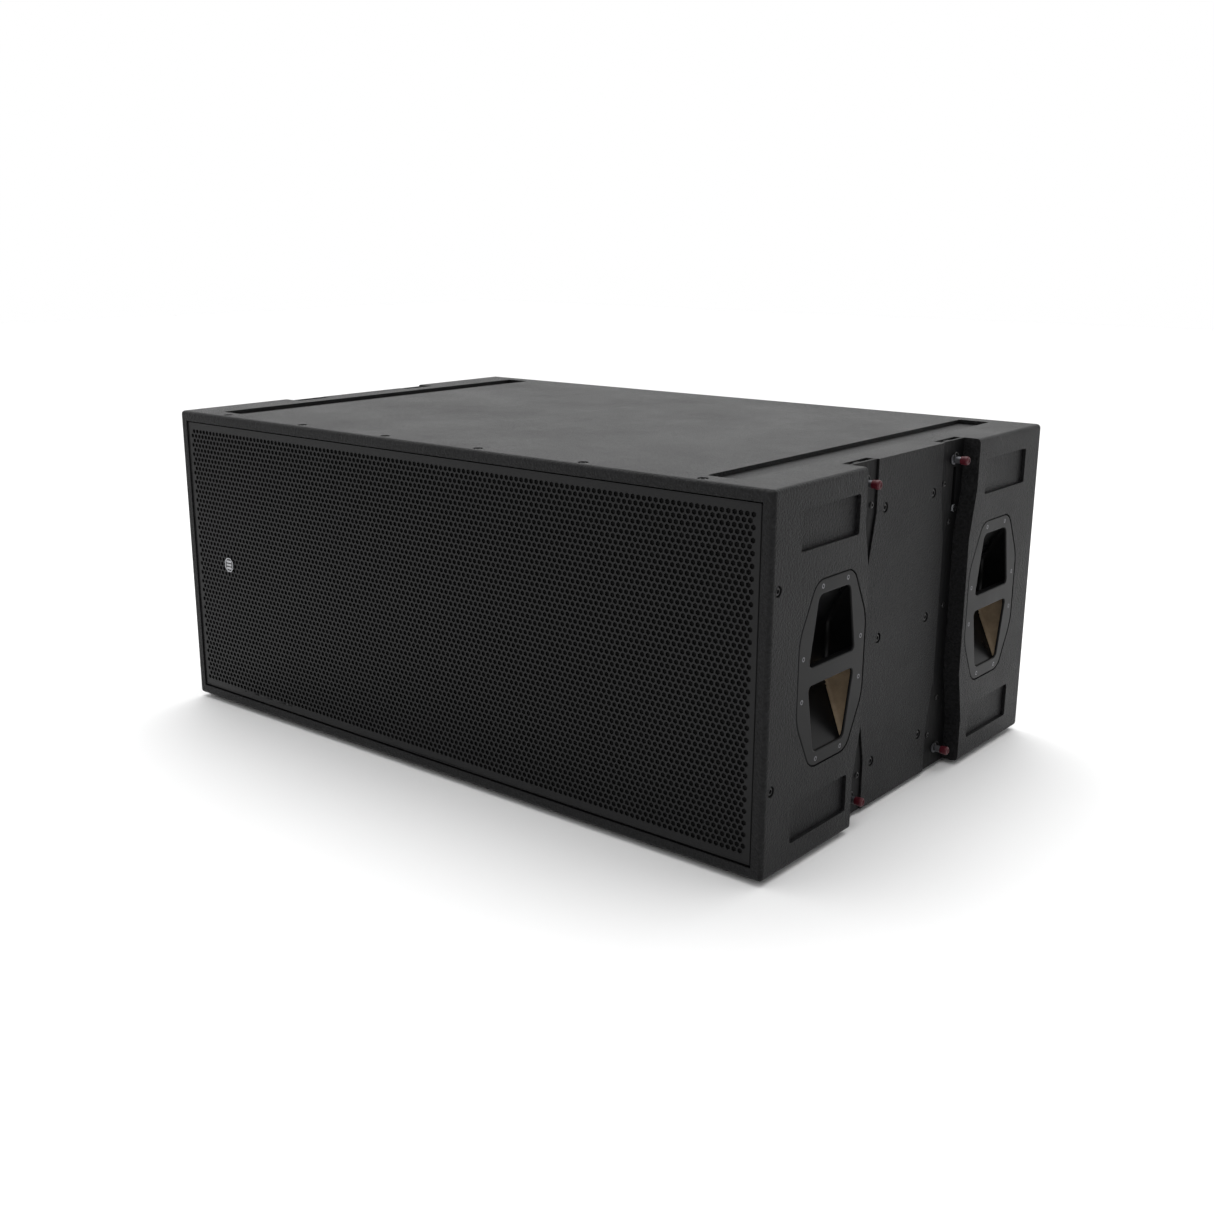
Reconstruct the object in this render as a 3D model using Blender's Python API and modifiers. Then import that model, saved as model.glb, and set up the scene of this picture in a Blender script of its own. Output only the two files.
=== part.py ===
"""Flown dual 18 inch subwoofer of a line array: plywood cabinet, rigging rails, handles and drivers.

Frame: origin on the floor under the cabinet's centre, +X across the width, -Y out of the grille,
+Z up.  Depths are measured back from the front face and heights up from the cabinet's underside.
"""
import math

import bmesh
import bpy
from mathutils import Matrix

# Cabinet
WIDTH = 1.300
DEPTH = 0.850
HEIGHT = 0.550
SKID_HEIGHT = 0.008
PLY = 0.018
GAP = 0.0003
REACH = 0.020                  # how far a cutter runs past the face it opens
INNER_TOP = HEIGHT - PLY
SIDE_WALL_X = 0.589            # outer face of the inner side wall
CHEEK_SKIN_X = WIDTH / 2 - PLY

# Rigging groove: wide at both ends, narrow in the middle
GROOVE_Y = 0.1435
GROOVE_END_HALF = 0.0385
GROOVE_MIDDLE_HALF = 0.021
GROOVE_BENDS = (0.080, 0.160, 0.390, 0.470)
CENTRE_PANEL_INSET = 0.025
RAIL_FACE_X = WIDTH / 2 - 0.028
RAIL_FIT = 0.0005
LINK_SLOT_X = (0.605, 0.617)
LINK_SLOT_HALF = 0.0163
SLOT_MOUTH_HALF = 0.0345       # the slot opens out to this near the rail's top
SLOT_MOUTH_BOTTOM = 0.500
PANEL_EDGE_X = LINK_SLOT_X[0]  # where the top and bottom panels meet the side pieces
LINK_FIT = 0.0004
LINK_HALF = 0.0157
LINK_BOTTOM = 0.395
LINK_TOP = 0.548
LINK_TRAVEL = 0.062
LINK_NOSE = 0.008
PIN_HEIGHTS = {"top": 0.519, "bottom": 0.030}
PIN_HOLE_R = 0.0051
PIN_SHANK_R = 0.0048
PIN_TIP_X = 0.593
PIN_TIP_CHAMFER = 0.001
PIN_COLLAR_X = (RAIL_FACE_X + 2 * GAP, RAIL_FACE_X + 0.0036)
PIN_COLLAR_R = 0.0080
PIN_NECK_R = 0.0055
PIN_HEAD_X = (0.634, WIDTH / 2 - GAP)
PIN_HEAD_R = 0.0078
PIN_HEAD_CHAMFER = 0.0015
PIN_SIDES = 12
STUD_OFFSET = 0.0105
STUD_HEIGHT = 0.439
STUD_NECK_R = 0.0044
STUD_HEAD_R = 0.006
STUD_SLOT_HALF = 0.005
STUD_END_X = 0.627

# Stacking channels on top and the skids that sit in them
CHANNEL_X = (0.515, 0.571)
CHANNEL_DEPTHS = (0.040, 0.812)
CHANNEL_CUT = 0.007
SKID_MARGIN = 0.002
SKID_END_MARGIN = 0.005
SKID_CHAMFER = 0.002

# Front and rear
BAFFLE_DEPTH = 0.044
GRILLE_FRONT = 0.002
GRILLE_SHEET = 0.0015
GRILLE_REAR = 0.012
GRILLE_SIDE_GAP = 0.0025
GRILLE_TOP_GAP = 0.002
GRILLE_BOTTOM_GAP = 0.0045
FOAM_DEPTHS = (0.004, 0.009)
BADGE_CENTRE = (-0.530, 0.273)
BADGE_SIZE = (0.026, 0.030)
BADGE_DEPTHS = (0.0003, GRILLE_FRONT - GAP)
PORT_HALF = 0.055
PORT_END = 0.520
BRACE_DEPTHS = (0.600, 0.618)
BRACE_HALF = 0.040

# Drivers
DRIVER_X = 0.322
DRIVER_HEIGHT = 0.275
DRIVER_CUTOUT_R = 0.212
TURNED_STEPS = 28
ARC_STEPS = 4
BASKET_WINDOW = 0.100
BASKET_WINDOW_DEPTHS = (0.078, 0.152)
BASKET_BARS = 3
# Closed profiles as (radius, depth) points
BASKET_PROFILE = [(0.230, 0.0360), (0.230, 0.0437), (0.207, 0.0437), (0.205, 0.060), (0.115, 0.165),
                  (0.115, 0.175), (0.060, 0.175), (0.060, 0.171), (0.111, 0.171), (0.111, 0.163),
                  (0.200, 0.058), (0.200, 0.0360)]
CONE_PROFILE = [(0.195, 0.036), (0.196, 0.0385), (0.0525, 0.1205), (0.0525, 0.203), (0.0505, 0.203),
                (0.0505, 0.118)]
MOTOR_PROFILE = [(0.110, 0.1753), (0.110, 0.245), (0.020, 0.245), (0.020, 0.1753), (0.049, 0.1753),
                 (0.049, 0.217), (0.055, 0.217), (0.055, 0.1753)]
CLOTH = 0.0011
ROLL_CENTRE = (0.207, 0.0346)  # radius and depth
ROLL_R = 0.0106
SURROUND_RADII = (0.193, 0.227)
SPIDER_RADII = (0.0535, 0.119)
SPIDER_DEPTH = 0.150
SPIDER_WAVE = 0.003
SPIDER_WAVES = 4
CAP_R = 0.096
CAP_RIM_R = 0.056
CAP_CENTRE_DEPTH = 0.1905

# Handles and the shallow pockets above and below them
HANDLE_Y = {"front": -0.258, "rear": 0.267}
HANDLE_HEIGHT = 0.272
HANDLE_HALF = (0.091, 0.1365)
HANDLE_FLAT_HALF = (0.051, 0.060)
HANDLE_FLANGE = 0.0037
HANDLE_CUP_INSET = 0.012
HANDLE_CUP_WALL = 0.003
HANDLE_CUP_FLOOR_X = 0.592
HANDLE_CUP_FLOOR_HALF = 0.048
HANDLE_CUP_RAMP = 1.42         # height gained per depth by the cup's upper and lower ramps
HANDLE_BAR_HALF = (0.074, 0.0135)
HANDLE_BAR_REAR_X = 0.634
HANDLE_GRIP_HALF_WIDTHS = (0.062, 0.0415)
HANDLE_GRIP_REACH = 0.115
POCKET_Y = {"front": -0.277, "rear": 0.288}
POCKET_HEIGHTS = (0.061, 0.482)
POCKET_HALF = (0.077, 0.029)
POCKET_CUT = 0.006

# Connector dish
DISH_HEIGHT = 0.120
DISH_FLANGE_HALF = (0.075, 0.065)
DISH_TRAY_HALF = (0.055, 0.045)
DISH_FLANGE_DEPTHS = (0.8477, 0.8497)
DISH_FLOOR_DEPTH = 0.825
DISH_WALL = 0.002
SOCKET_X = 0.024
SOCKET_FLANGE_HALF = 0.013
SOCKET_FLANGE = 0.003
SOCKET_BARREL_R = 0.012
SOCKET_BORE_R = 0.010
SOCKET_BARREL_LENGTH = 0.025
SOCKET_BORE_LENGTH = 0.018

BIRCH_BLACK = ("painted birch plywood", (0.030, 0.030, 0.032), 0.62, 0.0)
BIRCH_BARE = ("birch plywood", (0.42, 0.30, 0.18), 0.70, 0.0)
STEEL_BLACK = ("powder coated steel", (0.014, 0.014, 0.015), 0.50, 0.6)
GRILLE_BLACK = ("coated perforated steel", (0.028, 0.028, 0.030), 0.45, 0.5)
FOAM_BLACK = ("acoustic foam", (0.008, 0.008, 0.008), 0.95, 0.0)
BADGE_GREY = ("cast aluminium badge", (0.55, 0.55, 0.57), 0.35, 0.9)
MOULDED_BLACK = ("moulded nylon", (0.012, 0.012, 0.013), 0.30, 0.0)
CAST_GREY = ("cast aluminium basket", (0.20, 0.20, 0.21), 0.45, 0.8)
PAPER_BLACK = ("treated paper cone", (0.020, 0.020, 0.021), 0.80, 0.0)
CLOTH_BLACK = ("treated cloth", (0.015, 0.015, 0.015), 0.85, 0.0)
MAGNET_GREY = ("zinc plated motor", (0.33, 0.34, 0.35), 0.35, 0.9)
ZINC_STEEL = ("zinc plated steel", (0.50, 0.51, 0.53), 0.30, 1.0)
PIN_RED = ("red pin head", (0.33, 0.012, 0.022), 0.35, 0.0)
SKID_BLACK = ("black skid plastic", (0.020, 0.020, 0.020), 0.55, 0.0)

SIDES = ((1, "right"), (-1, "left"))
PLACES = (("front", -1), ("rear", 1))


def depth_y(depth):
    return depth - DEPTH / 2


def height_z(height):
    return height + SKID_HEIGHT


def clear_scene():
    for thing in list(bpy.data.objects):
        bpy.data.objects.remove(thing, do_unlink=True)


def collection(name):
    made = bpy.data.collections.new(name)
    bpy.context.scene.collection.children.link(made)
    return made


def material(spec):
    name, colour, roughness, metallic = spec
    made = bpy.data.materials.get(name)
    if made is None:
        made = bpy.data.materials.new(name)
        made.use_nodes = True
        shader = made.node_tree.nodes["Principled BSDF"]
        shader.inputs["Base Color"].default_value = (*colour, 1.0)
        shader.inputs["Roughness"].default_value = roughness
        shader.inputs["Metallic"].default_value = metallic
    return made


def add_mesh(name, mesh, spec=None):
    """Link a mesh as a finished part, or as a cutter when it has no material."""
    thing = bpy.data.objects.new(name, mesh)
    if spec is None:
        CUTTERS.objects.link(thing)
        thing.hide_render = True
        thing.display_type = "WIRE"
    else:
        PARTS.objects.link(thing)
        mesh.materials.append(material(spec))
    return thing


def box(name, spec, x_range, y_range, z_range):
    """A block from a unit cube; each range may be given in either order."""
    ranges = [sorted(pair) for pair in (x_range, y_range, z_range)]
    centre = [sum(pair) / 2 for pair in ranges]
    size = [pair[1] - pair[0] for pair in ranges]
    mesh = bpy.data.meshes.new(name)
    shape = bmesh.new()
    bmesh.ops.create_cube(shape, size=1.0, matrix=Matrix.Diagonal((*size, 1.0)))
    shape.to_mesh(mesh)
    shape.free()
    thing = add_mesh(name, mesh, spec)
    thing.location = centre
    return thing


def cylinder(name, spec, centre, radius, length, axis, sides=24):
    """A round bar centred on a point, along X or Y."""
    turn = {"X": Matrix.Rotation(math.pi / 2, 4, "Y"), "Y": Matrix.Rotation(math.pi / 2, 4, "X")}
    mesh = bpy.data.meshes.new(name)
    shape = bmesh.new()
    bmesh.ops.create_cone(shape, cap_ends=True, segments=sides, radius1=radius, radius2=radius,
                          depth=length, matrix=turn[axis])
    shape.to_mesh(mesh)
    shape.free()
    mesh.shade_smooth()
    mesh.set_sharp_from_angle(angle=math.radians(30))
    thing = add_mesh(name, mesh, spec)
    thing.location = centre
    return thing


def outline_solid(name, spec, outline, low, high):
    """An outline in the YZ plane, filled and extruded between two X levels."""
    curve = bpy.data.curves.new(name, "CURVE")
    curve.dimensions = "2D"
    curve.fill_mode = "BOTH"
    curve.extrude = abs(high - low) / 2
    spline = curve.splines.new("POLY")
    spline.points.add(len(outline) - 1)
    for point, (across, up) in zip(spline.points, outline):
        point.co = (across, up, 0.0, 1.0)
    spline.use_cyclic_u = True
    flat = bpy.data.objects.new(name + "_outline", curve)
    CUTTERS.objects.link(flat)
    bpy.context.view_layer.update()
    evaluated = flat.evaluated_get(bpy.context.evaluated_depsgraph_get())
    mesh = bpy.data.meshes.new_from_object(evaluated)
    mesh.name = name
    bpy.data.objects.remove(flat, do_unlink=True)
    shape = bmesh.new()
    shape.from_mesh(mesh)
    bmesh.ops.remove_doubles(shape, verts=shape.verts, dist=1e-6)
    bmesh.ops.recalc_face_normals(shape, faces=shape.faces)
    shape.to_mesh(mesh)
    shape.free()
    mesh.materials.clear()
    thing = add_mesh(name, mesh, spec)
    thing.matrix_world = Matrix(((0, 0, 1, (low + high) / 2), (1, 0, 0, 0), (0, 1, 0, 0), (0, 0, 0, 1)))
    return thing


def turned(name, spec, profile, x, height, closed=True):
    """A profile of (radius, depth) points turned about a driver's axis, which runs along Y."""
    mesh = bpy.data.meshes.new(name)
    count = len(profile)
    edges = [(i, (i + 1) % count) for i in range(count if closed else count - 1)]
    mesh.from_pydata([(radius, 0.0, -depth) for radius, depth in profile], edges, [])
    thing = add_mesh(name, mesh, spec)
    screw = thing.modifiers.new("turn", "SCREW")
    screw.axis = "Z"
    screw.steps = screw.render_steps = TURNED_STEPS
    screw.use_merge_vertices = True
    screw.merge_threshold = 1e-5
    screw.use_smooth_shade = False
    thing.rotation_euler = (math.pi / 2, 0.0, 0.0)
    thing.location = (x, depth_y(0.0), height_z(height))
    return thing


def boolean(thing, other, operation="DIFFERENCE"):
    step = thing.modifiers.new(operation.lower(), "BOOLEAN")
    step.operation = operation
    step.solver = "EXACT"
    step.object = other


def both_ways(low, high, side):
    """An X range on the right (side 1) or the left (side -1) of the cabinet."""
    return (side * low, side * high)


def groove_edge(centre, side, narrowing, bottom, top):
    """Points up one edge of a rigging groove, or of the rail in it."""
    wide = centre + side * (GROOVE_END_HALF - narrowing)
    narrow = centre + side * (GROOVE_MIDDLE_HALF - narrowing)
    bends = [height_z(bend) for bend in GROOVE_BENDS]
    return [(wide, bottom), (wide, bends[0]), (narrow, bends[1]),
            (narrow, bends[2]), (wide, bends[3]), (wide, top)]


def octagon(centre_y, inset):
    """A handle's outline, drawn in by an amount all round."""
    half_y, half_z = (half - inset for half in HANDLE_HALF)
    slope = math.tan(math.pi / 8) * inset
    flat_y, flat_z = (flat - slope for flat in HANDLE_FLAT_HALF)
    corners = [(flat_y, half_z), (half_y, flat_z)]
    quarter = corners + [(y, -z) for y, z in reversed(corners)]
    ring = quarter + [(-y, z) for y, z in reversed(quarter)]
    return [(centre_y + y, height_z(HANDLE_HEIGHT) + z) for y, z in ring]


def grip_opening(centre_y, side):
    """The finger opening above (side 1) or below (side -1) a handle's bar."""
    wide, narrow = HANDLE_GRIP_HALF_WIDTHS
    near, far = (height_z(HANDLE_HEIGHT) + side * h for h in (HANDLE_BAR_HALF[1], HANDLE_GRIP_REACH))
    return [(centre_y - wide, near), (centre_y + wide, near),
            (centre_y + narrow, far), (centre_y - narrow, far)]


def cut_for_panels(piece, tag, side):
    """Cut a side piece back to where the top and bottom panels end."""
    for end, low, high in (("top", INNER_TOP - GAP, HEIGHT + REACH), ("bottom", -REACH, PLY + GAP)):
        boolean(piece, box("panel_cutter_%s_%s" % (end, tag), None,
                           both_ways(SIDE_WALL_X - REACH, PANEL_EDGE_X + GAP, side),
                           (-DEPTH / 2 - REACH, DEPTH / 2 + REACH), (height_z(low), height_z(high))))


def make_top_and_bottom():
    """Two panels between the side pieces, stacking channels in the top one, skids under the other."""
    across = (-PANEL_EDGE_X, PANEL_EDGE_X)
    along = (-DEPTH / 2, DEPTH / 2)
    box("bottom_panel", BIRCH_BLACK, across, along, (height_z(0.0), height_z(PLY)))
    top = box("top_panel", BIRCH_BLACK, across, along, (height_z(INNER_TOP), height_z(HEIGHT)))
    for side, hand in SIDES:
        channel = box("channel_cutter_" + hand, None, both_ways(*CHANNEL_X, side),
                      [depth_y(depth) for depth in CHANNEL_DEPTHS],
                      (height_z(HEIGHT - CHANNEL_CUT), height_z(HEIGHT) + REACH))
        boolean(top, channel)
        skid_x = (CHANNEL_X[0] + SKID_MARGIN, CHANNEL_X[1] - SKID_MARGIN)
        skid_y = (depth_y(CHANNEL_DEPTHS[0] + SKID_END_MARGIN),
                  depth_y(CHANNEL_DEPTHS[1] - SKID_END_MARGIN))
        skid = box("skid_" + hand, SKID_BLACK, both_ways(*skid_x, side), skid_y,
                   (0.0, SKID_HEIGHT - GAP))
        soften = skid.modifiers.new("chamfer", "BEVEL")
        soften.width = SKID_CHAMFER


def make_walls():
    """Inner side walls, port walls, braces, centre panels, baffle and rear panel."""
    inner_z = (height_z(PLY + GAP), height_z(INNER_TOP - GAP))
    wall_y = (depth_y(BAFFLE_DEPTH + PLY + GAP), depth_y(DEPTH - PLY - GAP))
    panel_x = (SIDE_WALL_X + GAP, WIDTH / 2 - CENTRE_PANEL_INSET)
    for side, hand in SIDES:
        box("side_wall_" + hand, BIRCH_BARE, both_ways(SIDE_WALL_X - PLY, SIDE_WALL_X, side),
            wall_y, inner_z)
        box("port_wall_" + hand, BIRCH_BARE, both_ways(PORT_HALF, PORT_HALF + PLY, side),
            (wall_y[0], depth_y(PORT_END)), inner_z)
        box("brace_" + hand, BIRCH_BARE,
            both_ways(DRIVER_X - BRACE_HALF, DRIVER_X + BRACE_HALF, side),
            [depth_y(depth) for depth in BRACE_DEPTHS], inner_z)
        front_edge = groove_edge(-GROOVE_Y, 1, 0.0, height_z(0.0), height_z(HEIGHT))
        rear_edge = groove_edge(GROOVE_Y, -1, 0.0, height_z(0.0), height_z(HEIGHT))
        panel = outline_solid("centre_panel_" + hand, BIRCH_BLACK, front_edge + rear_edge[::-1],
                              *both_ways(*panel_x, side))
        cut_for_panels(panel, "centre_" + hand, side)
    across = (GAP - CHEEK_SKIN_X, CHEEK_SKIN_X - GAP)
    baffle = box("front_baffle", BIRCH_BARE, across,
                 (depth_y(BAFFLE_DEPTH), depth_y(BAFFLE_DEPTH + PLY)), inner_z)
    through = PLY + 2 * REACH
    for side, hand in SIDES:
        boolean(baffle, cylinder("driver_cutter_" + hand, None,
                                 (side * DRIVER_X, depth_y(BAFFLE_DEPTH + PLY / 2),
                                  height_z(DRIVER_HEIGHT)),
                                 DRIVER_CUTOUT_R, through, "Y", sides=TURNED_STEPS))
    port_z = (inner_z[0] + PLY, inner_z[1] - PLY)
    boolean(baffle, box("port_cutter", None, (-PORT_HALF, PORT_HALF),
                        (depth_y(BAFFLE_DEPTH - REACH), depth_y(BAFFLE_DEPTH + PLY + REACH)), port_z))
    rear = box("rear_panel", BIRCH_BLACK, across, (depth_y(DEPTH - PLY), depth_y(DEPTH)), inner_z)
    dish_z = height_z(DISH_HEIGHT)
    for name, (half_x, half_z), start in (
            ("dish_hole_cutter", DISH_TRAY_HALF, DEPTH - PLY - REACH),
            ("dish_rebate_cutter", DISH_FLANGE_HALF, DISH_FLANGE_DEPTHS[0] - GAP)):
        wide, tall = half_x + GAP, half_z + GAP
        boolean(rear, box(name, None, (-wide, wide), (depth_y(start), depth_y(DEPTH + REACH)),
                          (dish_z - tall, dish_z + tall)))


def make_cheeks():
    """The blocks in front of and behind the rigging, each holding a handle."""
    bottom, top = height_z(0.0), height_z(HEIGHT)
    hollow_edge = GROOVE_Y + GROOVE_END_HALF + PLY
    for place, facing in PLACES:
        edge = groove_edge(facing * GROOVE_Y, facing, 0.0, bottom, top)
        end = facing * DEPTH / 2
        outline = edge + [(end, top), (end, bottom)]
        for side, hand in SIDES:
            tag = "_".join((place, hand))
            cheek = outline_solid(place + "_cheek_" + hand, BIRCH_BLACK, outline,
                                  *both_ways(SIDE_WALL_X + GAP, WIDTH / 2, side))
            boolean(cheek, box("hollow_cutter_" + tag, None,
                               both_ways(SIDE_WALL_X - REACH, CHEEK_SKIN_X, side),
                               (facing * hollow_edge, facing * (DEPTH / 2 + REACH)),
                               (height_z(PLY), height_z(INNER_TOP))))
            cut_for_panels(cheek, tag, side)
            flange_x = WIDTH / 2 - GAP - HANDLE_FLANGE - GAP
            boolean(cheek, outline_solid("cup_cutter_" + tag, None,
                                         octagon(HANDLE_Y[place], HANDLE_CUP_INSET - GAP),
                                         *both_ways(SIDE_WALL_X, WIDTH / 2 - GAP, side)))
            boolean(cheek, outline_solid("flange_cutter_" + tag, None,
                                         octagon(HANDLE_Y[place], -GAP),
                                         *both_ways(flange_x, WIDTH / 2 + REACH, side)))
            for row, height in enumerate(POCKET_HEIGHTS):
                centre = (POCKET_Y[place], height_z(height))
                boolean(cheek, box("pocket_cutter_%s_%d" % (tag, row), None,
                                   both_ways(WIDTH / 2 - POCKET_CUT, WIDTH / 2 + REACH, side),
                                   (centre[0] - POCKET_HALF[0], centre[0] + POCKET_HALF[0]),
                                   (centre[1] - POCKET_HALF[1], centre[1] + POCKET_HALF[1])))


def cup_wedge(name, side, centre_y, wall):
    """The space between a cup's upper and lower ramps, drawn in by a wall's thickness."""
    wall_height = wall * math.hypot(1.0, HANDLE_CUP_RAMP)
    x_range = (HANDLE_CUP_FLOOR_X - REACH, WIDTH / 2 + REACH)
    inner, outer = (HANDLE_CUP_FLOOR_HALF + (x - HANDLE_CUP_FLOOR_X) * HANDLE_CUP_RAMP - wall_height
                    for x in x_range)
    half_y = HANDLE_HALF[0] + REACH
    middle = height_z(HANDLE_HEIGHT)
    wedge = box(name, None, both_ways(*x_range, side), (centre_y - half_y, centre_y + half_y),
                (middle - outer, middle + outer))
    for vertex in wedge.data.vertices:
        if vertex.co.x * side < 0:
            vertex.co.z *= inner / outer
    return wedge


def make_handles():
    """Four recessed handles: a flange with a bar across it, and a cup behind."""
    face_x = WIDTH / 2 - GAP
    flange_x = face_x - HANDLE_FLANGE
    for place, centre_y in HANDLE_Y.items():
        for side, hand in SIDES:
            tag = "_".join((place, hand))
            frame = outline_solid("handle_frame_" + tag, MOULDED_BLACK, octagon(centre_y, 0.0),
                                  *both_ways(flange_x, face_x, side))
            bar_half_y, bar_half_z = HANDLE_BAR_HALF
            middle = height_z(HANDLE_HEIGHT)
            boolean(frame, box("bar_" + tag, None, both_ways(HANDLE_BAR_REAR_X, face_x - GAP, side),
                               (centre_y - bar_half_y, centre_y + bar_half_y),
                               (middle - bar_half_z, middle + bar_half_z)), "UNION")
            for where, facing in (("upper", 1), ("lower", -1)):
                boolean(frame, outline_solid("_".join((where, "grip_cutter", tag)), None,
                                             grip_opening(centre_y, facing),
                                             *both_ways(CHEEK_SKIN_X, face_x + REACH, side)))
            cup_x = (HANDLE_CUP_FLOOR_X, flange_x - GAP)
            cup = outline_solid("handle_cup_" + tag, MOULDED_BLACK,
                                octagon(centre_y, HANDLE_CUP_INSET), *both_ways(*cup_x, side))
            boolean(cup, cup_wedge("cup_wedge_" + tag, side, centre_y, 0.0), "INTERSECT")
            hollow = outline_solid("cup_hollow_cutter_" + tag, None,
                                   octagon(centre_y, HANDLE_CUP_INSET + HANDLE_CUP_WALL),
                                   *both_ways(cup_x[0] + HANDLE_CUP_WALL, cup_x[1] + REACH, side))
            boolean(hollow, cup_wedge("hollow_wedge_" + tag, side, centre_y, HANDLE_CUP_WALL), "INTERSECT")
            boolean(cup, hollow)


def make_rigging():
    """Four rails, each with a sliding link and two quick-release pins."""
    bottom, top = height_z(0.0), height_z(HEIGHT)
    for place, facing in PLACES:
        centre_y = facing * GROOVE_Y
        stud_y = centre_y + facing * STUD_OFFSET
        outline = (groove_edge(centre_y, 1, RAIL_FIT, bottom, top)
                   + groove_edge(centre_y, -1, RAIL_FIT, bottom, top)[::-1])
        for side, hand in SIDES:
            tag = "_".join((place, hand))
            rail = outline_solid("rail_" + tag, STEEL_BLACK, outline,
                                 *both_ways(SIDE_WALL_X + GAP, RAIL_FACE_X, side))
            for part, half, start in (("link_slot", LINK_SLOT_HALF, -REACH),
                                      ("slot_mouth", SLOT_MOUTH_HALF, SLOT_MOUTH_BOTTOM)):
                boolean(rail, box("_".join((part, "cutter", tag)), None, both_ways(*LINK_SLOT_X, side),
                                  (centre_y - half, centre_y + half), (height_z(start), top + REACH)))
            cut_for_panels(rail, "rail_" + tag, side)
            boolean(rail, box("stud_slot_cutter_" + tag, None,
                              both_ways(LINK_SLOT_X[1] - 2 * GAP, RAIL_FACE_X + REACH, side),
                              (stud_y - STUD_SLOT_HALF, stud_y + STUD_SLOT_HALF),
                              (height_z(STUD_HEIGHT - STUD_SLOT_HALF),
                               height_z(STUD_HEIGHT + LINK_TRAVEL + STUD_SLOT_HALF))))
            middle_x = side * (SIDE_WALL_X + RAIL_FACE_X) / 2
            for end, height in PIN_HEIGHTS.items():
                boolean(rail, cylinder("pin_hole_cutter_%s_%s" % (end, tag), None,
                                       (middle_x, centre_y, height_z(height)),
                                       PIN_HOLE_R, RAIL_FACE_X - SIDE_WALL_X + 2 * REACH, "X"))
                make_pin("pin_%s_%s" % (end, tag), side, centre_y, height)
            make_link("link_" + tag, tag, side, centre_y, stud_y)


def make_link(name, tag, side, centre_y, stud_y):
    low, high = height_z(LINK_BOTTOM), height_z(LINK_TOP)
    half = LINK_HALF
    outline = [(centre_y - half, low), (centre_y + half, low), (centre_y + half, high - LINK_NOSE),
               (centre_y + half - LINK_NOSE, high), (centre_y - half + LINK_NOSE, high),
               (centre_y - half, high - LINK_NOSE)]
    plate_x = (LINK_SLOT_X[0] + LINK_FIT, LINK_SLOT_X[1] - LINK_FIT)
    link = outline_solid(name, ZINC_STEEL, outline, *both_ways(*plate_x, side))
    slot_top = PIN_HEIGHTS["top"] + PIN_HOLE_R
    slot_bottom = PIN_HEIGHTS["top"] - LINK_TRAVEL - PIN_HOLE_R
    boolean(link, box("lock_slot_cutter_" + tag, None,
                      both_ways(LINK_SLOT_X[0] - REACH, LINK_SLOT_X[1] + REACH, side),
                      (centre_y - PIN_HOLE_R, centre_y + PIN_HOLE_R),
                      (height_z(slot_bottom), height_z(slot_top))))
    head_x = RAIL_FACE_X + 2 * GAP
    for part, radius, start in (("neck", STUD_NECK_R, plate_x[1] - LINK_FIT),
                                ("head", STUD_HEAD_R, head_x)):
        boolean(link, cylinder("stud_%s_%s" % (part, tag), None,
                               (side * (start + STUD_END_X) / 2, stud_y, height_z(STUD_HEIGHT)),
                               radius, STUD_END_X - start, "X", sides=16), "UNION")


def make_pin(name, side, centre_y, height):
    """Quick-release pin: shank, steel collar and a fat plastic head, turned about X."""
    collar, head = PIN_COLLAR_X, PIN_HEAD_X
    steps = [(0.0, PIN_TIP_X), (PIN_SHANK_R - PIN_TIP_CHAMFER, PIN_TIP_X),
             (PIN_SHANK_R, PIN_TIP_X + PIN_TIP_CHAMFER), (PIN_SHANK_R, collar[0]),
             (PIN_COLLAR_R, collar[0]), (PIN_COLLAR_R, collar[1]), (PIN_NECK_R, collar[1]),
             (PIN_NECK_R, head[0]), (PIN_HEAD_R, head[0]), (PIN_HEAD_R, head[1] - PIN_HEAD_CHAMFER),
             (PIN_HEAD_R - PIN_HEAD_CHAMFER, head[1]), (0.0, head[1])]
    mesh = bpy.data.meshes.new(name)
    points = [(radius, 0.0, x) for radius, x in reversed(steps)]
    mesh.from_pydata(points, [(i, i + 1) for i in range(len(points) - 1)], [])
    pin = add_mesh(name, mesh, PIN_RED)
    screw = pin.modifiers.new("turn", "SCREW")
    screw.axis = "Z"
    screw.steps = screw.render_steps = PIN_SIDES
    screw.use_merge_vertices = True
    screw.merge_threshold = 1e-5
    screw.use_smooth_shade = False
    pin.rotation_euler = (0.0, side * math.pi / 2, 0.0)
    pin.location = (0.0, centre_y, height_z(height))


def arc(centre_r, centre_depth, radius, start, end):
    """Points on an arc in the (radius, depth) half plane, angles in degrees."""
    points = []
    for i in range(ARC_STEPS + 1):
        angle = math.radians(start + (end - start) * i / ARC_STEPS)
        points.append((centre_r + radius * math.cos(angle), centre_depth - radius * math.sin(angle)))
    return points


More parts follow.
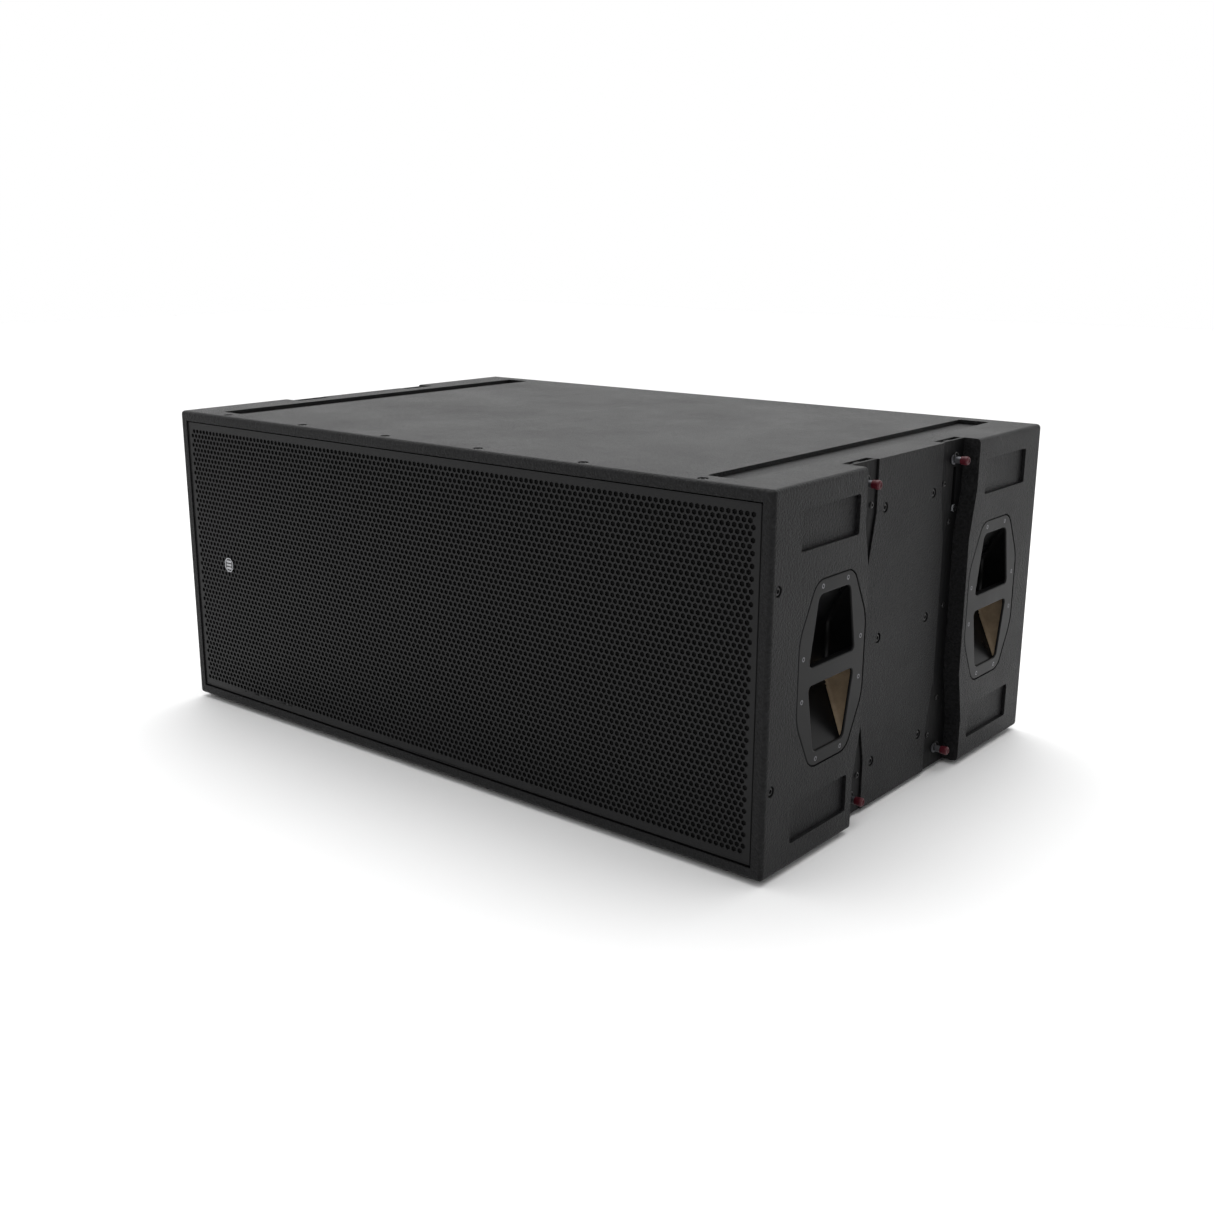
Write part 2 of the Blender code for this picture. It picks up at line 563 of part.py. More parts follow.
def make_drivers():
    """Two 18 inch drivers: basket, cone with coil, dust cap, surround, spider and motor."""
    roll_r, front = ROLL_CENTRE
    back = front + CLOTH
    inner_r, outer_r = SURROUND_RADII
    inside = ROLL_R - CLOTH
    surround = ([(outer_r, front), (outer_r, back), (roll_r + inside, back)]
                + arc(roll_r, front, inside, 0, 180)
                + [(roll_r - inside, back), (inner_r, back), (inner_r, front)]
                + arc(roll_r, front, ROLL_R, 180, 0))
    wave_step = (SPIDER_RADII[1] - SPIDER_RADII[0]) / SPIDER_WAVES
    front_side = [(SPIDER_RADII[0] + wave_step * i, SPIDER_DEPTH + (SPIDER_WAVE if i % 2 else 0.0))
                  for i in range(SPIDER_WAVES + 1)]
    spider = [(r, depth + CLOTH) for r, depth in reversed(front_side)] + front_side
    rim = math.degrees(math.acos(CAP_RIM_R / CAP_R))
    cap = (arc(0.0, CAP_CENTRE_DEPTH, CAP_R, 90, rim)
           + arc(0.0, CAP_CENTRE_DEPTH, CAP_R - CLOTH, rim, 90))
    for side, hand in SIDES:
        x = side * DRIVER_X
        made = turned("basket_" + hand, CAST_GREY, BASKET_PROFILE, x, DRIVER_HEIGHT)
        for i in range(BASKET_BARS):
            window = box("basket_window_cutter_%s_%d" % (hand, i), None,
                         (-DRIVER_CUTOUT_R, DRIVER_CUTOUT_R),
                         [depth_y(depth) for depth in BASKET_WINDOW_DEPTHS],
                         (-BASKET_WINDOW / 2, BASKET_WINDOW / 2))
            window.rotation_euler = (0.0, math.pi * i / BASKET_BARS, 0.0)
            window.location.x = x
            window.location.z = height_z(DRIVER_HEIGHT)
            boolean(made, window)
        turned("cone_" + hand, PAPER_BLACK, CONE_PROFILE, x, DRIVER_HEIGHT)
        turned("motor_" + hand, MAGNET_GREY, MOTOR_PROFILE, x, DRIVER_HEIGHT)
        turned("surround_" + hand, CLOTH_BLACK, surround, x, DRIVER_HEIGHT)
        turned("spider_" + hand, CLOTH_BLACK, spider, x, DRIVER_HEIGHT)
        turned("dust_cap_" + hand, PAPER_BLACK, cap, x, DRIVER_HEIGHT, closed=False)


def make_front():
    """Perforated grille pan with its foam lining, and a plain badge."""
    half = CHEEK_SKIN_X - GRILLE_SIDE_GAP
    low, high = height_z(PLY + GRILLE_BOTTOM_GAP), height_z(INNER_TOP - GRILLE_TOP_GAP)
    grille = box("grille", GRILLE_BLACK, (-half, half),
                 (depth_y(GRILLE_FRONT), depth_y(GRILLE_REAR)), (low, high))
    inside = half - GRILLE_SHEET
    boolean(grille, box("grille_hollow_cutter", None, (-inside, inside),
                        (depth_y(GRILLE_FRONT + GRILLE_SHEET), depth_y(GRILLE_REAR + REACH)),
                        (low + GRILLE_SHEET, high - GRILLE_SHEET)))
    soft = inside - GRILLE_SHEET
    box("grille_foam", FOAM_BLACK, (-soft, soft), [depth_y(depth) for depth in FOAM_DEPTHS],
        (low + 2 * GRILLE_SHEET, high - 2 * GRILLE_SHEET))
    x, height = BADGE_CENTRE
    box("badge", BADGE_GREY, (x - BADGE_SIZE[0] / 2, x + BADGE_SIZE[0] / 2),
        [depth_y(depth) for depth in BADGE_DEPTHS],
        (height_z(height - BADGE_SIZE[1] / 2), height_z(height + BADGE_SIZE[1] / 2)))


def make_connectors():
    """A sunk connector dish in the rear panel with two twist-lock sockets."""
    middle = height_z(DISH_HEIGHT)
    flange_x, flange_z = DISH_FLANGE_HALF
    tray_x, tray_z = DISH_TRAY_HALF
    dish = box("connector_dish", ZINC_STEEL, (-flange_x, flange_x),
               [depth_y(depth) for depth in DISH_FLANGE_DEPTHS], (middle - flange_z, middle + flange_z))
    boolean(dish, box("dish_tray", None, (-tray_x, tray_x),
                      (depth_y(DISH_FLOOR_DEPTH), depth_y(DISH_FLANGE_DEPTHS[1] - GAP)),
                      (middle - tray_z, middle + tray_z)), "UNION")
    boolean(dish, box("dish_hollow_cutter", None, (DISH_WALL - tray_x, tray_x - DISH_WALL),
                      (depth_y(DISH_FLOOR_DEPTH + DISH_WALL), depth_y(DEPTH + REACH)),
                      (middle - tray_z + DISH_WALL, middle + tray_z - DISH_WALL)))
    floor = DISH_FLOOR_DEPTH + DISH_WALL + GAP
    for side, hand in SIDES:
        x = side * SOCKET_X
        boolean(dish, cylinder("socket_hole_cutter_" + hand, None,
                               (x, depth_y(DISH_FLOOR_DEPTH), middle),
                               SOCKET_BARREL_R + GAP, 2 * REACH, "Y"))
        socket = box("socket_" + hand, MOULDED_BLACK,
                     (x - SOCKET_FLANGE_HALF, x + SOCKET_FLANGE_HALF),
                     (depth_y(floor), depth_y(floor + SOCKET_FLANGE)),
                     (middle - SOCKET_FLANGE_HALF, middle + SOCKET_FLANGE_HALF))
        start = floor - SOCKET_BARREL_LENGTH
        end = floor + SOCKET_FLANGE / 2
        boolean(socket, cylinder("socket_barrel_" + hand, None,
                                 (x, depth_y((start + end) / 2), middle),
                                 SOCKET_BARREL_R, end - start, "Y"), "UNION")
        mouth = floor + SOCKET_FLANGE + REACH
        bottom = floor + SOCKET_FLANGE - SOCKET_BORE_LENGTH
        boolean(socket, cylinder("socket_bore_cutter_" + hand, None,
                                 (x, depth_y((bottom + mouth) / 2), middle),
                                 SOCKET_BORE_R, mouth - bottom, "Y"))


clear_scene()
PARTS = collection("line array subwoofer")
CUTTERS = collection("cutters")
make_top_and_bottom()
make_walls()
make_cheeks()
make_handles()
make_rigging()
make_drivers()
make_front()
make_connectors()
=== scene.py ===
"""Finish of a flown subwoofer cabinet for a line array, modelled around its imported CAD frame."""
import math

import bmesh
import bpy
from bpy.props import FloatProperty, FloatVectorProperty, PointerProperty
from mathutils import Matrix, Vector


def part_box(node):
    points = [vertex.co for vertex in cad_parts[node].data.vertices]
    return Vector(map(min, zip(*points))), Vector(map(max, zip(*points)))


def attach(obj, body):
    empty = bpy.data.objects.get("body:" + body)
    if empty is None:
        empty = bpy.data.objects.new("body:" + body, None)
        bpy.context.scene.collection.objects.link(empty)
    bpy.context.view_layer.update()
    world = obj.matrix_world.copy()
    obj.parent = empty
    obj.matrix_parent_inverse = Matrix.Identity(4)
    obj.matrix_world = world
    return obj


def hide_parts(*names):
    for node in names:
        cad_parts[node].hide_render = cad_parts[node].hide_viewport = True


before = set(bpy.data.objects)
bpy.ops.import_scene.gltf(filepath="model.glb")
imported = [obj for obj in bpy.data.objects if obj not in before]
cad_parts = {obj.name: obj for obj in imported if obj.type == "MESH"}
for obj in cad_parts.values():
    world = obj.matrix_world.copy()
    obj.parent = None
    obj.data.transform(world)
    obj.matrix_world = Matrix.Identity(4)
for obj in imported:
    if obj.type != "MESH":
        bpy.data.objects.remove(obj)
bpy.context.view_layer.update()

bl_info = {
    "name": "Flown subwoofer finish",
    "version": (1, 0, 0),
    "blender": (4, 5, 0),
    "location": "View3D > Sidebar > Subwoofer",
    "description": "Models the coated cabinet, grille, handles and rigging of a flown subwoofer",
    "category": "Add Mesh",
}

BODY = "cabinet"
HANDS = (("right", 1), ("left", -1))
PLACES = (("front", -1), ("rear", 1))
ENDS = ("top", "bottom")
EDGE_AXIS_LIMIT = 0.999       # cosine above which an edge counts as parallel to an axis
NEAR = 0.0001                 # how close two places are to count as the same

# The coated box, from the side blocks at two of its corners
BOX_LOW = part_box("front_cheek_left")[0]
BOX_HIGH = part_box("rear_cheek_right")[1]
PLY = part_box("bottom_panel")[1].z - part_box("bottom_panel")[0].z
MIDDLE_Z = (BOX_LOW.z + BOX_HIGH.z) / 2
SIDE_WALL_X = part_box("side_wall_right")[1].x
PANEL_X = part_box("centre_panel_right")[1].x
RAIL_LOW, RAIL_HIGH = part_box("rail_rear_right")
GROOVE_Y = (RAIL_LOW.y + RAIL_HIGH.y) / 2


def linear_colour(code):
    """Linear RGB from an sRGB hex code."""
    parts = [int(code[i:i + 2], 16) / 255 for i in (0, 2, 4)]
    return [c / 12.92 if c <= 0.04045 else ((c + 0.055) / 1.055) ** 2.4 for c in parts]


def length(name, description, millimetres):
    return FloatProperty(name=name, description=description, default=millimetres / 1000,
                         unit="LENGTH", precision=4)


def colour(name, description, code):
    return FloatVectorProperty(name=name, description=description, default=linear_colour(code),
                               subtype="COLOR", min=0.0, max=1.0)


class CabinetSizes(bpy.types.PropertyGroup):
    """Sizes of the coated plywood box."""
    edge_radius: length("Edge radius", "Rounding of the twelve outer edges", 7)
    cut_radius: length("Cut edge radius", "Rounding of routed edges", 1.6)
    groove_end: length("Groove end", "Half width of a rigging groove at its ends", 38.5)
    groove_waist: length("Groove waist", "Half width of a rigging groove in its middle", 21)
    bend_outer: length("Outer bend", "Height from an end at which the groove starts to narrow", 80)
    bend_inner: length("Inner bend", "Height from an end at which the groove is narrow", 160)
    notch_x: length("Notch", "Distance from the centre at which the slots in the panels start", 605)
    channel_x: length("Channel centre", "Distance of a stacking channel from the centre", 543)
    channel_width: length("Channel width", "Width of a stacking channel", 56)
    channel_front: length("Channel front", "Depth at which a stacking channel starts", 40)
    channel_rear: length("Channel rear", "Depth at which a stacking channel ends", 812)
    channel_depth: length("Channel depth", "How deep a stacking channel is routed", 7)
    pocket_length: length("Pocket length", "Length of a shallow side pocket", 154)
    pocket_height: length("Pocket height", "Height of a shallow side pocket", 58)
    pocket_depth: length("Pocket depth", "Depth of a shallow side pocket", 6)
    pocket_offset: length("Pocket offset", "Height of a pocket's centre from the nearer end", 64.5)


class GrilleSizes(bpy.types.PropertyGroup):
    """Sizes of the perforated grille."""
    pitch: length("Hole pitch", "Distance between hole centres in a row", 10)
    bar: length("Bar", "Width of metal left between two holes", 2.8)
    sheet: length("Sheet", "Thickness of the steel", 1.5)
    side_margin: length("Side margin", "Least plain edge beside the outermost holes", 6.5)
    top_margin: length("Top margin", "Least plain edge above and below the holes", 10)
    fold_radius: length("Fold radius", "Outer radius of the folded edges", 2)
    foam_pores: length("Foam relief", "Height of the foam's uneven surface", 0.8)


class HandleSizes(bpy.types.PropertyGroup):
    """Sizes of a recessed handle."""
    corner_radius: length("Corner radius", "Rounding of the frame's outline", 16)
    grip_radius: length("Grip radius", "Rounding of the finger openings' corners", 9)
    flange: length("Flange", "Thickness of the frame", 3.7)
    bar_half: length("Bar half height", "Half of the height of the grab bar", 13.5)
    grip_wide: length("Opening at the bar", "Half width of an opening at the bar", 62)
    grip_narrow: length("Opening at its end", "Half width of an opening away from the bar", 41.5)
    grip_reach: length("Opening reach", "How far an opening reaches from the handle's middle", 115)
    flat_y: length("Flat across", "Half of the frame's level edge", 51)
    flat_z: length("Flat up", "Half of the frame's upright edge", 60)
    cup_inset: length("Cup inset", "How far the cup's mouth is inside the frame's outline", 12)
    cup_wall: length("Cup wall", "Thickness of the cup's wall", 2.5)
    cup_floor_half: length("Cup floor", "Half of the height of the cup's floor", 47)
    cup_ramp: FloatProperty(name="Cup ramp", description="Height gained per depth by the cup's ramps",
                            default=1.42)
    cup_radius: length("Cup radius", "Rounding between the cup's walls", 10)
    edge_radius: length("Frame edge radius", "Rounding of the frame's outer and inner edges", 2)
    gap: length("Frame gap", "Gap between the frame and the panel around it", 1.4)


class StageSizes(bpy.types.PropertyGroup):
    """Camera and light."""
    azimuth: FloatProperty(name="Azimuth", description="Camera heading off the front's normal",
                           default=math.radians(40.23), subtype="ANGLE")
    elevation: FloatProperty(name="Elevation", description="Camera height angle",
                             default=math.radians(15.06), subtype="ANGLE")
    distance: length("Distance", "Camera distance from its aim", 2617)
    focal_length: FloatProperty(name="Focal length", description="Lens focal length in millimetres",
                                default=41.33)
    floor_size: length("Floor size", "Side of the square floor", 24000)
    surround: FloatProperty(name="Surround", description="Light from the surround beside the camera",
                            default=0.35)
    backdrop: FloatProperty(name="Backdrop", description="Light from the surround behind the object",
                            default=1.2)
    top_light: FloatProperty(name="Top light", description="Power of the overhead softbox in watts",
                             default=40.0)
    front_light: FloatProperty(name="Front light", description="Power of the front softbox in watts",
                               default=20.0)
    sky_light: FloatProperty(name="Sky light", description="Strength of the even light from above",
                             default=1.2)


class FinishColours(bpy.types.PropertyGroup):
    """Colours of the materials."""
    coating: colour("Cabinet coating", "Sprayed polyurethane", "131314")
    grille: colour("Grille", "Powder coat on the perforated steel", "101011")
    foam: colour("Foam", "Open-cell foam behind the grille", "070707")
    rail: colour("Rail", "Powder coat on the rigging", "050506")
    zinc: colour("Zinc", "Zinc plate", "B4B6BA")
    pin: colour("Pin head", "Moulded pin head", "450D18")
    nylon: colour("Nylon", "Moulded handle nylon", "0A0A0B")
    # Also the colour of the pale lining in the handle cups, where it is painted light for the lit cup wall.
    birch: colour("Birch", "Bare birch veneer", "8F7C64")
    floor: colour("Floor", "Pale studio floor", "F6F6F6")


# ---------------------------------------------------------------- modelling helpers

def deselect_all():
    if bpy.context.mode != "OBJECT":
        bpy.ops.object.mode_set(mode="OBJECT")
    bpy.ops.object.select_all(action="DESELECT")


def make_active(piece):
    deselect_all()
    piece.select_set(True)
    bpy.context.view_layer.objects.active = piece


def everything(item):
    return True


def shape(piece, kind, test, *steps):
    """Select vertices, edges or faces by a test, then run edit-mode operators on them."""
    make_active(piece)
    bpy.ops.object.mode_set(mode="EDIT")
    bpy.ops.mesh.select_mode(type=kind)
    bpy.ops.mesh.select_all(action="DESELECT")
    mesh = bmesh.from_edit_mesh(piece.data)
    items = {"VERT": mesh.verts, "EDGE": mesh.edges, "FACE": mesh.faces}[kind]
    chosen = [item for item in items if test(item)]
    if not chosen:
        raise RuntimeError("nothing to shape on " + piece.name)
    for item in chosen:
        item.select_set(True)
    bmesh.update_edit_mesh(piece.data)
    for operator, settings in steps:
        operator(**settings)
    bpy.ops.object.mode_set(mode="OBJECT")
    return piece


def along(axis):
    """Test for edges parallel to an axis (0, 1 or 2)."""
    def test(edge):
        way = edge.verts[1].co - edge.verts[0].co
        return way.length > 0 and abs(way[axis]) / way.length > EDGE_AXIS_LIMIT
    return test


def bevel(radius, segments=3):
    return bpy.ops.mesh.bevel, {"offset": radius, "segments": segments, "affect": "EDGES",
                                "profile": 0.5, "clamp_overlap": True}


def add_block(name, low, high):
    """A block between two corners, given in either order, with its place in its mesh."""
    deselect_all()
    low, high = Vector(low), Vector(high)
    bpy.ops.mesh.primitive_cube_add(size=1, location=(low + high) / 2)
    block = bpy.context.object
    block.name = name
    block.scale = [abs(b - a) for a, b in zip(low, high)]
    bpy.ops.object.transform_apply(location=True, rotation=True, scale=True)
    return block


def apply_modifier(piece, kind, **settings):
    make_active(piece)
    step = piece.modifiers.new(kind.lower(), kind)
    for name, value in settings.items():
        setattr(step, name, value)
    bpy.ops.object.modifier_apply(modifier=step.name)
    return piece


def combine(piece, other, operation="DIFFERENCE"):
    """Cut another solid out of a piece, or join it on, and remove the other."""
    apply_modifier(piece, "BOOLEAN", object=other, operation=operation, solver="EXACT")
    bpy.data.objects.remove(other, do_unlink=True)
    return piece


def slice_off(piece, point, normal):
    """Cut a solid with a plane, drop what lies beyond it and close the cut."""
    bisect = (bpy.ops.mesh.bisect, {"plane_co": point, "plane_no": Vector(normal).normalized(),
                                    "use_fill": True, "clear_outer": True})
    return shape(piece, "FACE", everything, bisect)


def octagon_block(name, x_range, centre_y, half_y, half_z, flat_y, flat_z):
    """A block with its four upright corners sliced off, standing on a side face."""
    centre_z = HANDLE_Z
    block = add_block(name, (x_range[0], centre_y - half_y, centre_z - half_z),
                      (x_range[1], centre_y + half_y, centre_z + half_z))
    for across in (-1, 1):
        for up in (-1, 1):
            slice_off(block, (0, centre_y + across * flat_y, centre_z + up * half_z),
                      (0, across * (half_z - flat_z), up * (half_y - flat_y)))
    return block


def turned(name, steps, sides=24):
    """A turned piece about +Z: a disc that is extruded and scaled through (height, radius) steps."""
    deselect_all()
    start, radius = steps[0]
    bpy.ops.mesh.primitive_circle_add(vertices=sides, radius=radius, fill_type="NGON",
                                      location=(0, 0, start))
    piece = bpy.context.object
    piece.name = name
    bpy.ops.object.transform_apply(location=True)
    bpy.ops.object.mode_set(mode="EDIT")
    bpy.ops.mesh.select_mode(type="FACE")
    bpy.ops.mesh.select_all(action="SELECT")
    for height, wide in steps[1:]:
        bpy.ops.mesh.extrude_region_move(TRANSFORM_OT_translate={"value": (0, 0, height - start)})
        ratio = wide / radius
        bpy.ops.transform.resize(value=(ratio, ratio, 1), center_override=(0, 0, height))
        start, radius = height, wide
    bpy.ops.mesh.select_all(action="SELECT")
    bpy.ops.mesh.normals_make_consistent(inside=False)
    bpy.ops.object.mode_set(mode="OBJECT")
    return piece


def add_object(name, data):
    made = bpy.data.objects.new(name, data)
    bpy.context.scene.collection.objects.link(made)
    return made


def copies(name, model, places):
    """Copies of a model that points along +Z, each moved and turned to a (point, direction)."""
    made = []
    for point, direction in places:
        mesh = model.data.copy()
        turn = Vector(direction).to_track_quat("Z", "Y").to_matrix().to_4x4()
        mesh.transform(Matrix.Translation(point) @ turn)
        made.append(add_object(name, mesh))
    bpy.data.objects.remove(model, do_unlink=True)
    return join(name, made)


def join(name, pieces):
    make_active(pieces[0])
    for piece in pieces:
        piece.select_set(True)
    if len(pieces) > 1:
        bpy.ops.object.join()
    bpy.context.object.name = name
    return bpy.context.object


def copy_of_node(name, node):
    """A clean copy of a CAD node's mesh: doubles merged and flat faces made whole."""
    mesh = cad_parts[node].data.copy()
    mesh.materials.clear()
    piece = add_object(name, mesh)
    shape(piece, "VERT", everything,
          (bpy.ops.mesh.remove_doubles, {"threshold": 0.00001}),
          (bpy.ops.mesh.dissolve_limited, {"angle_limit": math.radians(1)}))
    for attribute in [a for a in piece.data.attributes if "normal" in a.name]:
        piece.data.attributes.remove(attribute)
    return piece


def sharp(limit_degrees, here=everything):
    """Test for edges where two faces meet at more than an angle and both ends are in a place."""
    limit = math.radians(limit_degrees)

    def test(edge):
        return (len(edge.link_faces) == 2 and edge.calc_face_angle(0) > limit
                and all(here(v.co) for v in edge.verts))
    return test


def finish_piece(piece, finish, body=BODY, replaced=(), smooth=35):
    """Give a modelled piece its shading, material and body, and hide the parts that it replaces."""
    make_active(piece)
    bpy.ops.object.transform_apply(location=True, rotation=True, scale=True)
    bpy.ops.object.shade_smooth_by_angle(angle=math.radians(smooth))
    apply_modifier(piece, "WEIGHTED_NORMAL", keep_sharp=True, weight=100)
    piece.data.materials.clear()
    piece.data.materials.append(finish)
    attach(piece, body)
    if replaced:
        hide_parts(*replaced)
    return piece


# ---------------------------------------------------------------- materials

def add_node(tree, kind, inputs=None, **settings):
    """Add a shader node; inputs maps a socket's name or number to a value or another socket."""
    node = tree.nodes.new("ShaderNode" + kind)
    for name, value in settings.items():
        setattr(node, name, value)
    for key, value in (inputs or {}).items():
        socket = node.inputs[key]
        if isinstance(value, bpy.types.NodeSocket):
            tree.links.new(value, socket)
        else:
            socket.default_value = value
    return node


def material(name):
    """A new node material: the material, its tree, its shader and its Object coordinates."""
    made = bpy.data.materials.new(name)
    made.use_nodes = True
    tree = made.node_tree
    shader = tree.nodes["Principled BSDF"]
    place = add_node(tree, "TexCoord").outputs["Object"]
    return made, tree, shader, place


def set_inputs(tree, shader, inputs):
    for key, value in inputs.items():
        if isinstance(value, bpy.types.NodeSocket):
            tree.links.new(value, shader.inputs[key])
        else:
            shader.inputs[key].default_value = value


def grain(size_mm):
    """Noise scale whose features are about this many millimetres wide."""
    return 1000.0 / size_mm


def noise(tree, place, size_mm, detail=2.0, roughness=0.5):
    return add_node(tree, "TexNoise", {"Vector": place, "Scale": grain(size_mm), "Detail": detail,
                                       "Roughness": roughness}).outputs["Fac"]


def spread(tree, value, low, high, start=0.3, end=0.7):
    """Map a noise value to a range of numbers."""
    return add_node(tree, "MapRange", {"Value": value, "From Min": start, "From Max": end,
                                       "To Min": low, "To Max": high}).outputs["Result"]


def tinted(tree, base, factor, amount):
    """The base colour made lighter and darker by a factor of 0 to 1."""
    light = [min(1.0, c * (1 + amount) + 0.002) for c in base] + [1.0]
    dark = [c * (1 - amount) for c in base] + [1.0]
    ramp = add_node(tree, "ValToRGB", {"Fac": factor})
    ramp.color_ramp.elements[0].position = 0.3
    ramp.color_ramp.elements[0].color = dark
    ramp.color_ramp.elements[1].position = 0.7
    ramp.color_ramp.elements[1].color = light
    return ramp.outputs["Color"]


def bumped(tree, height, strength, distance_mm, under=None):
    inputs = {"Height": height, "Strength": strength, "Distance": distance_mm / 1000}
    if under is not None:
        inputs["Normal"] = under
    return add_node(tree, "Bump", inputs).outputs["Normal"]


def polyurethane_coating():
    """Sprayed and spattered two-part polyurethane: an even, pebbled semi-matt skin, slightly mottled."""
    made, tree, shader, place = material("polyurethane cabinet coating, sprayed")
    # The real spatter is about 1.5 mm; it is drawn at 3 mm so that it shows in the render.
    pebbles = noise(tree, place, 3.0, 3.0, 0.6)
    mottle = noise(tree, place, 5.0, 4.0, 0.7)
    haze = noise(tree, place, 180, 4.0, 0.6)
    rough = add_node(tree, "Math", {0: spread(tree, mottle, -0.05, 0.05),
                                    1: spread(tree, haze, 0.42, 0.50)}, operation="ADD").outputs[0]
    normal = bumped(tree, pebbles, 1.0, 1.6, bumped(tree, mottle, 0.7, 1.4))
    base = tinted(tree, list(bpy.context.scene.speaker_colours.coating), mottle, 0.8)
    set_inputs(tree, shader, {"Base Color": base, "Roughness": rough, "Normal": normal,
                              "Specular IOR Level": 0.14})
    return made


def powder_coat(name, base, grain_mm=1.0, low=0.36, high=0.46):
    """Baked powder coat on steel: satin, with a faint orange peel."""
    made, tree, shader, place = material(name)
    peel = noise(tree, place, grain_mm * 2.5, 2.0)
    haze = noise(tree, place, 90, 3.0)
    set_inputs(tree, shader, {
        "Base Color": tinted(tree, list(base), haze, 0.10),
        "Roughness": spread(tree, haze, low, high),
        "Specular IOR Level": 0.2,
        "Normal": bumped(tree, peel, 0.12, 0.15)})
    return made


def worn_powder_coat():
    """Powder coat on the rails, rubbed through to steel in short scuffs."""
    made, tree, shader, place = material("powder coated steel, scuffed")
    stretch = add_node(tree, "Mapping", {"Vector": place, "Scale": (1.0, 1.0, 0.18)}).outputs["Vector"]
    scuff = noise(tree, stretch, 5, 5.0, 0.75)
    mask = spread(tree, scuff, 0.0, 1.0, 0.66, 0.70)
    coat = list(bpy.context.scene.speaker_colours.rail) + [1.0]
    steel = linear_colour("38383A") + [1.0]
    base = add_node(tree, "Mix", {0: mask, 6: coat, 7: steel}, data_type="RGBA").outputs[2]
    set_inputs(tree, shader, {
        "Base Color": base,
        "Metallic": spread(tree, mask, 0.0, 0.9, 0.0, 1.0),
        "Roughness": spread(tree, scuff, 0.68, 0.45),
        "Specular IOR Level": 0.12,
        "Normal": bumped(tree, noise(tree, place, 2.0), 0.14, 0.15)})
    return made


def zinc_plate():
    """Bright zinc plate on turned and stamped steel: a pale metal with a fine brushed lay."""
    made, tree, shader, place = material("zinc plated steel, brushed")
    lay = add_node(tree, "Mapping", {"Vector": place, "Scale": (1.0, 1.0, 0.06)}).outputs["Vector"]
    brush = noise(tree, lay, 0.8, 3.0)
    bloom = noise(tree, place, 12, 3.0)
    set_inputs(tree, shader, {
        "Base Color": tinted(tree, list(bpy.context.scene.speaker_colours.zinc), bloom, 0.12),
        "Metallic": 0.75,
        "Roughness": spread(tree, brush, 0.30, 0.42),
        "Normal": bumped(tree, brush, 0.08, 0.1)})
    return made


def glass_filled_nylon(name, gloss, sheen):
    """Injection-moulded glass-filled nylon: deep black with a soft moulded sheen."""
    made, tree, shader, place = material(name)
    flow = noise(tree, place, 40, 3.0)
    set_inputs(tree, shader, {
        "Base Color": tinted(tree, list(bpy.context.scene.speaker_colours.nylon), flow, 0.12),
        "Roughness": spread(tree, flow, gloss - 0.03, gloss + 0.04),
        "IOR": 1.53,
        "Specular IOR Level": sheen,
        "Normal": bumped(tree, noise(tree, place, 1.4), 0.06, 0.1)})
    return made


def red_pin_plastic():
    """Moulded red acetal of the pin heads, handled until it shines."""
    made, tree, shader, place = material("acetal, moulded red")
    wear = noise(tree, place, 6, 3.0)
    set_inputs(tree, shader, {
        "Base Color": tinted(tree, list(bpy.context.scene.speaker_colours.pin), wear, 0.15),
        "Roughness": spread(tree, wear, 0.38, 0.50),
        "IOR": 1.48,
        "Specular IOR Level": 0.3,
        "Normal": bumped(tree, noise(tree, place, 1.0), 0.05, 0.1)})
    return made


def reticulated_foam():
    """Open-cell polyurethane foam: nearly black, its colour darkened in the pits of its pores as painted
    shade.
    """
    made, tree, shader, place = material("reticulated foam, cut")
    pores = add_node(tree, "TexVoronoi", {"Vector": place, "Scale": grain(2.2)}).outputs["Distance"]
    # Painted shade: the colour is darker where the same pattern sinks pits into the bump.
    set_inputs(tree, shader, {
        "Base Color": tinted(tree, list(bpy.context.scene.speaker_colours.foam), pores, 0.5),
        "Roughness": spread(tree, pores, 0.90, 1.0),
        "Specular IOR Level": 0.2,
        "Normal": bumped(tree, pores, 0.6, 0.8)})
    return made


def birch_plywood():
    """Bare birch plywood: pale veneer with a long faint figure."""
    made, tree, shader, place = material("birch plywood, sanded")
    grain_way = add_node(tree, "Mapping", {"Vector": place, "Scale": (1.0, 0.08, 1.0)}).outputs["Vector"]
    figure = noise(tree, grain_way, 14, 6.0, 0.6)
    fibre = noise(tree, grain_way, 1.5, 3.0)
    set_inputs(tree, shader, {
        "Base Color": tinted(tree, list(bpy.context.scene.speaker_colours.birch), figure, 0.18),
        "Roughness": spread(tree, fibre, 0.55, 0.70),
        "Normal": bumped(tree, fibre, 0.15, 0.2)})
    return made


def cast_or_moulded(name, code, size_mm, rough, metallic=0.0, bump=0.2):
    """A plain cast, pressed or woven surface with its own grain size."""
    made, tree, shader, place = material(name)
    pattern = noise(tree, place, size_mm, 3.0)
    set_inputs(tree, shader, {
        "Base Color": tinted(tree, linear_colour(code), pattern, 0.15),
        "Metallic": metallic,
        "Roughness": spread(tree, pattern, rough - 0.05, rough + 0.05),
        "Normal": bumped(tree, pattern, bump, size_mm * 0.2)})
    return made


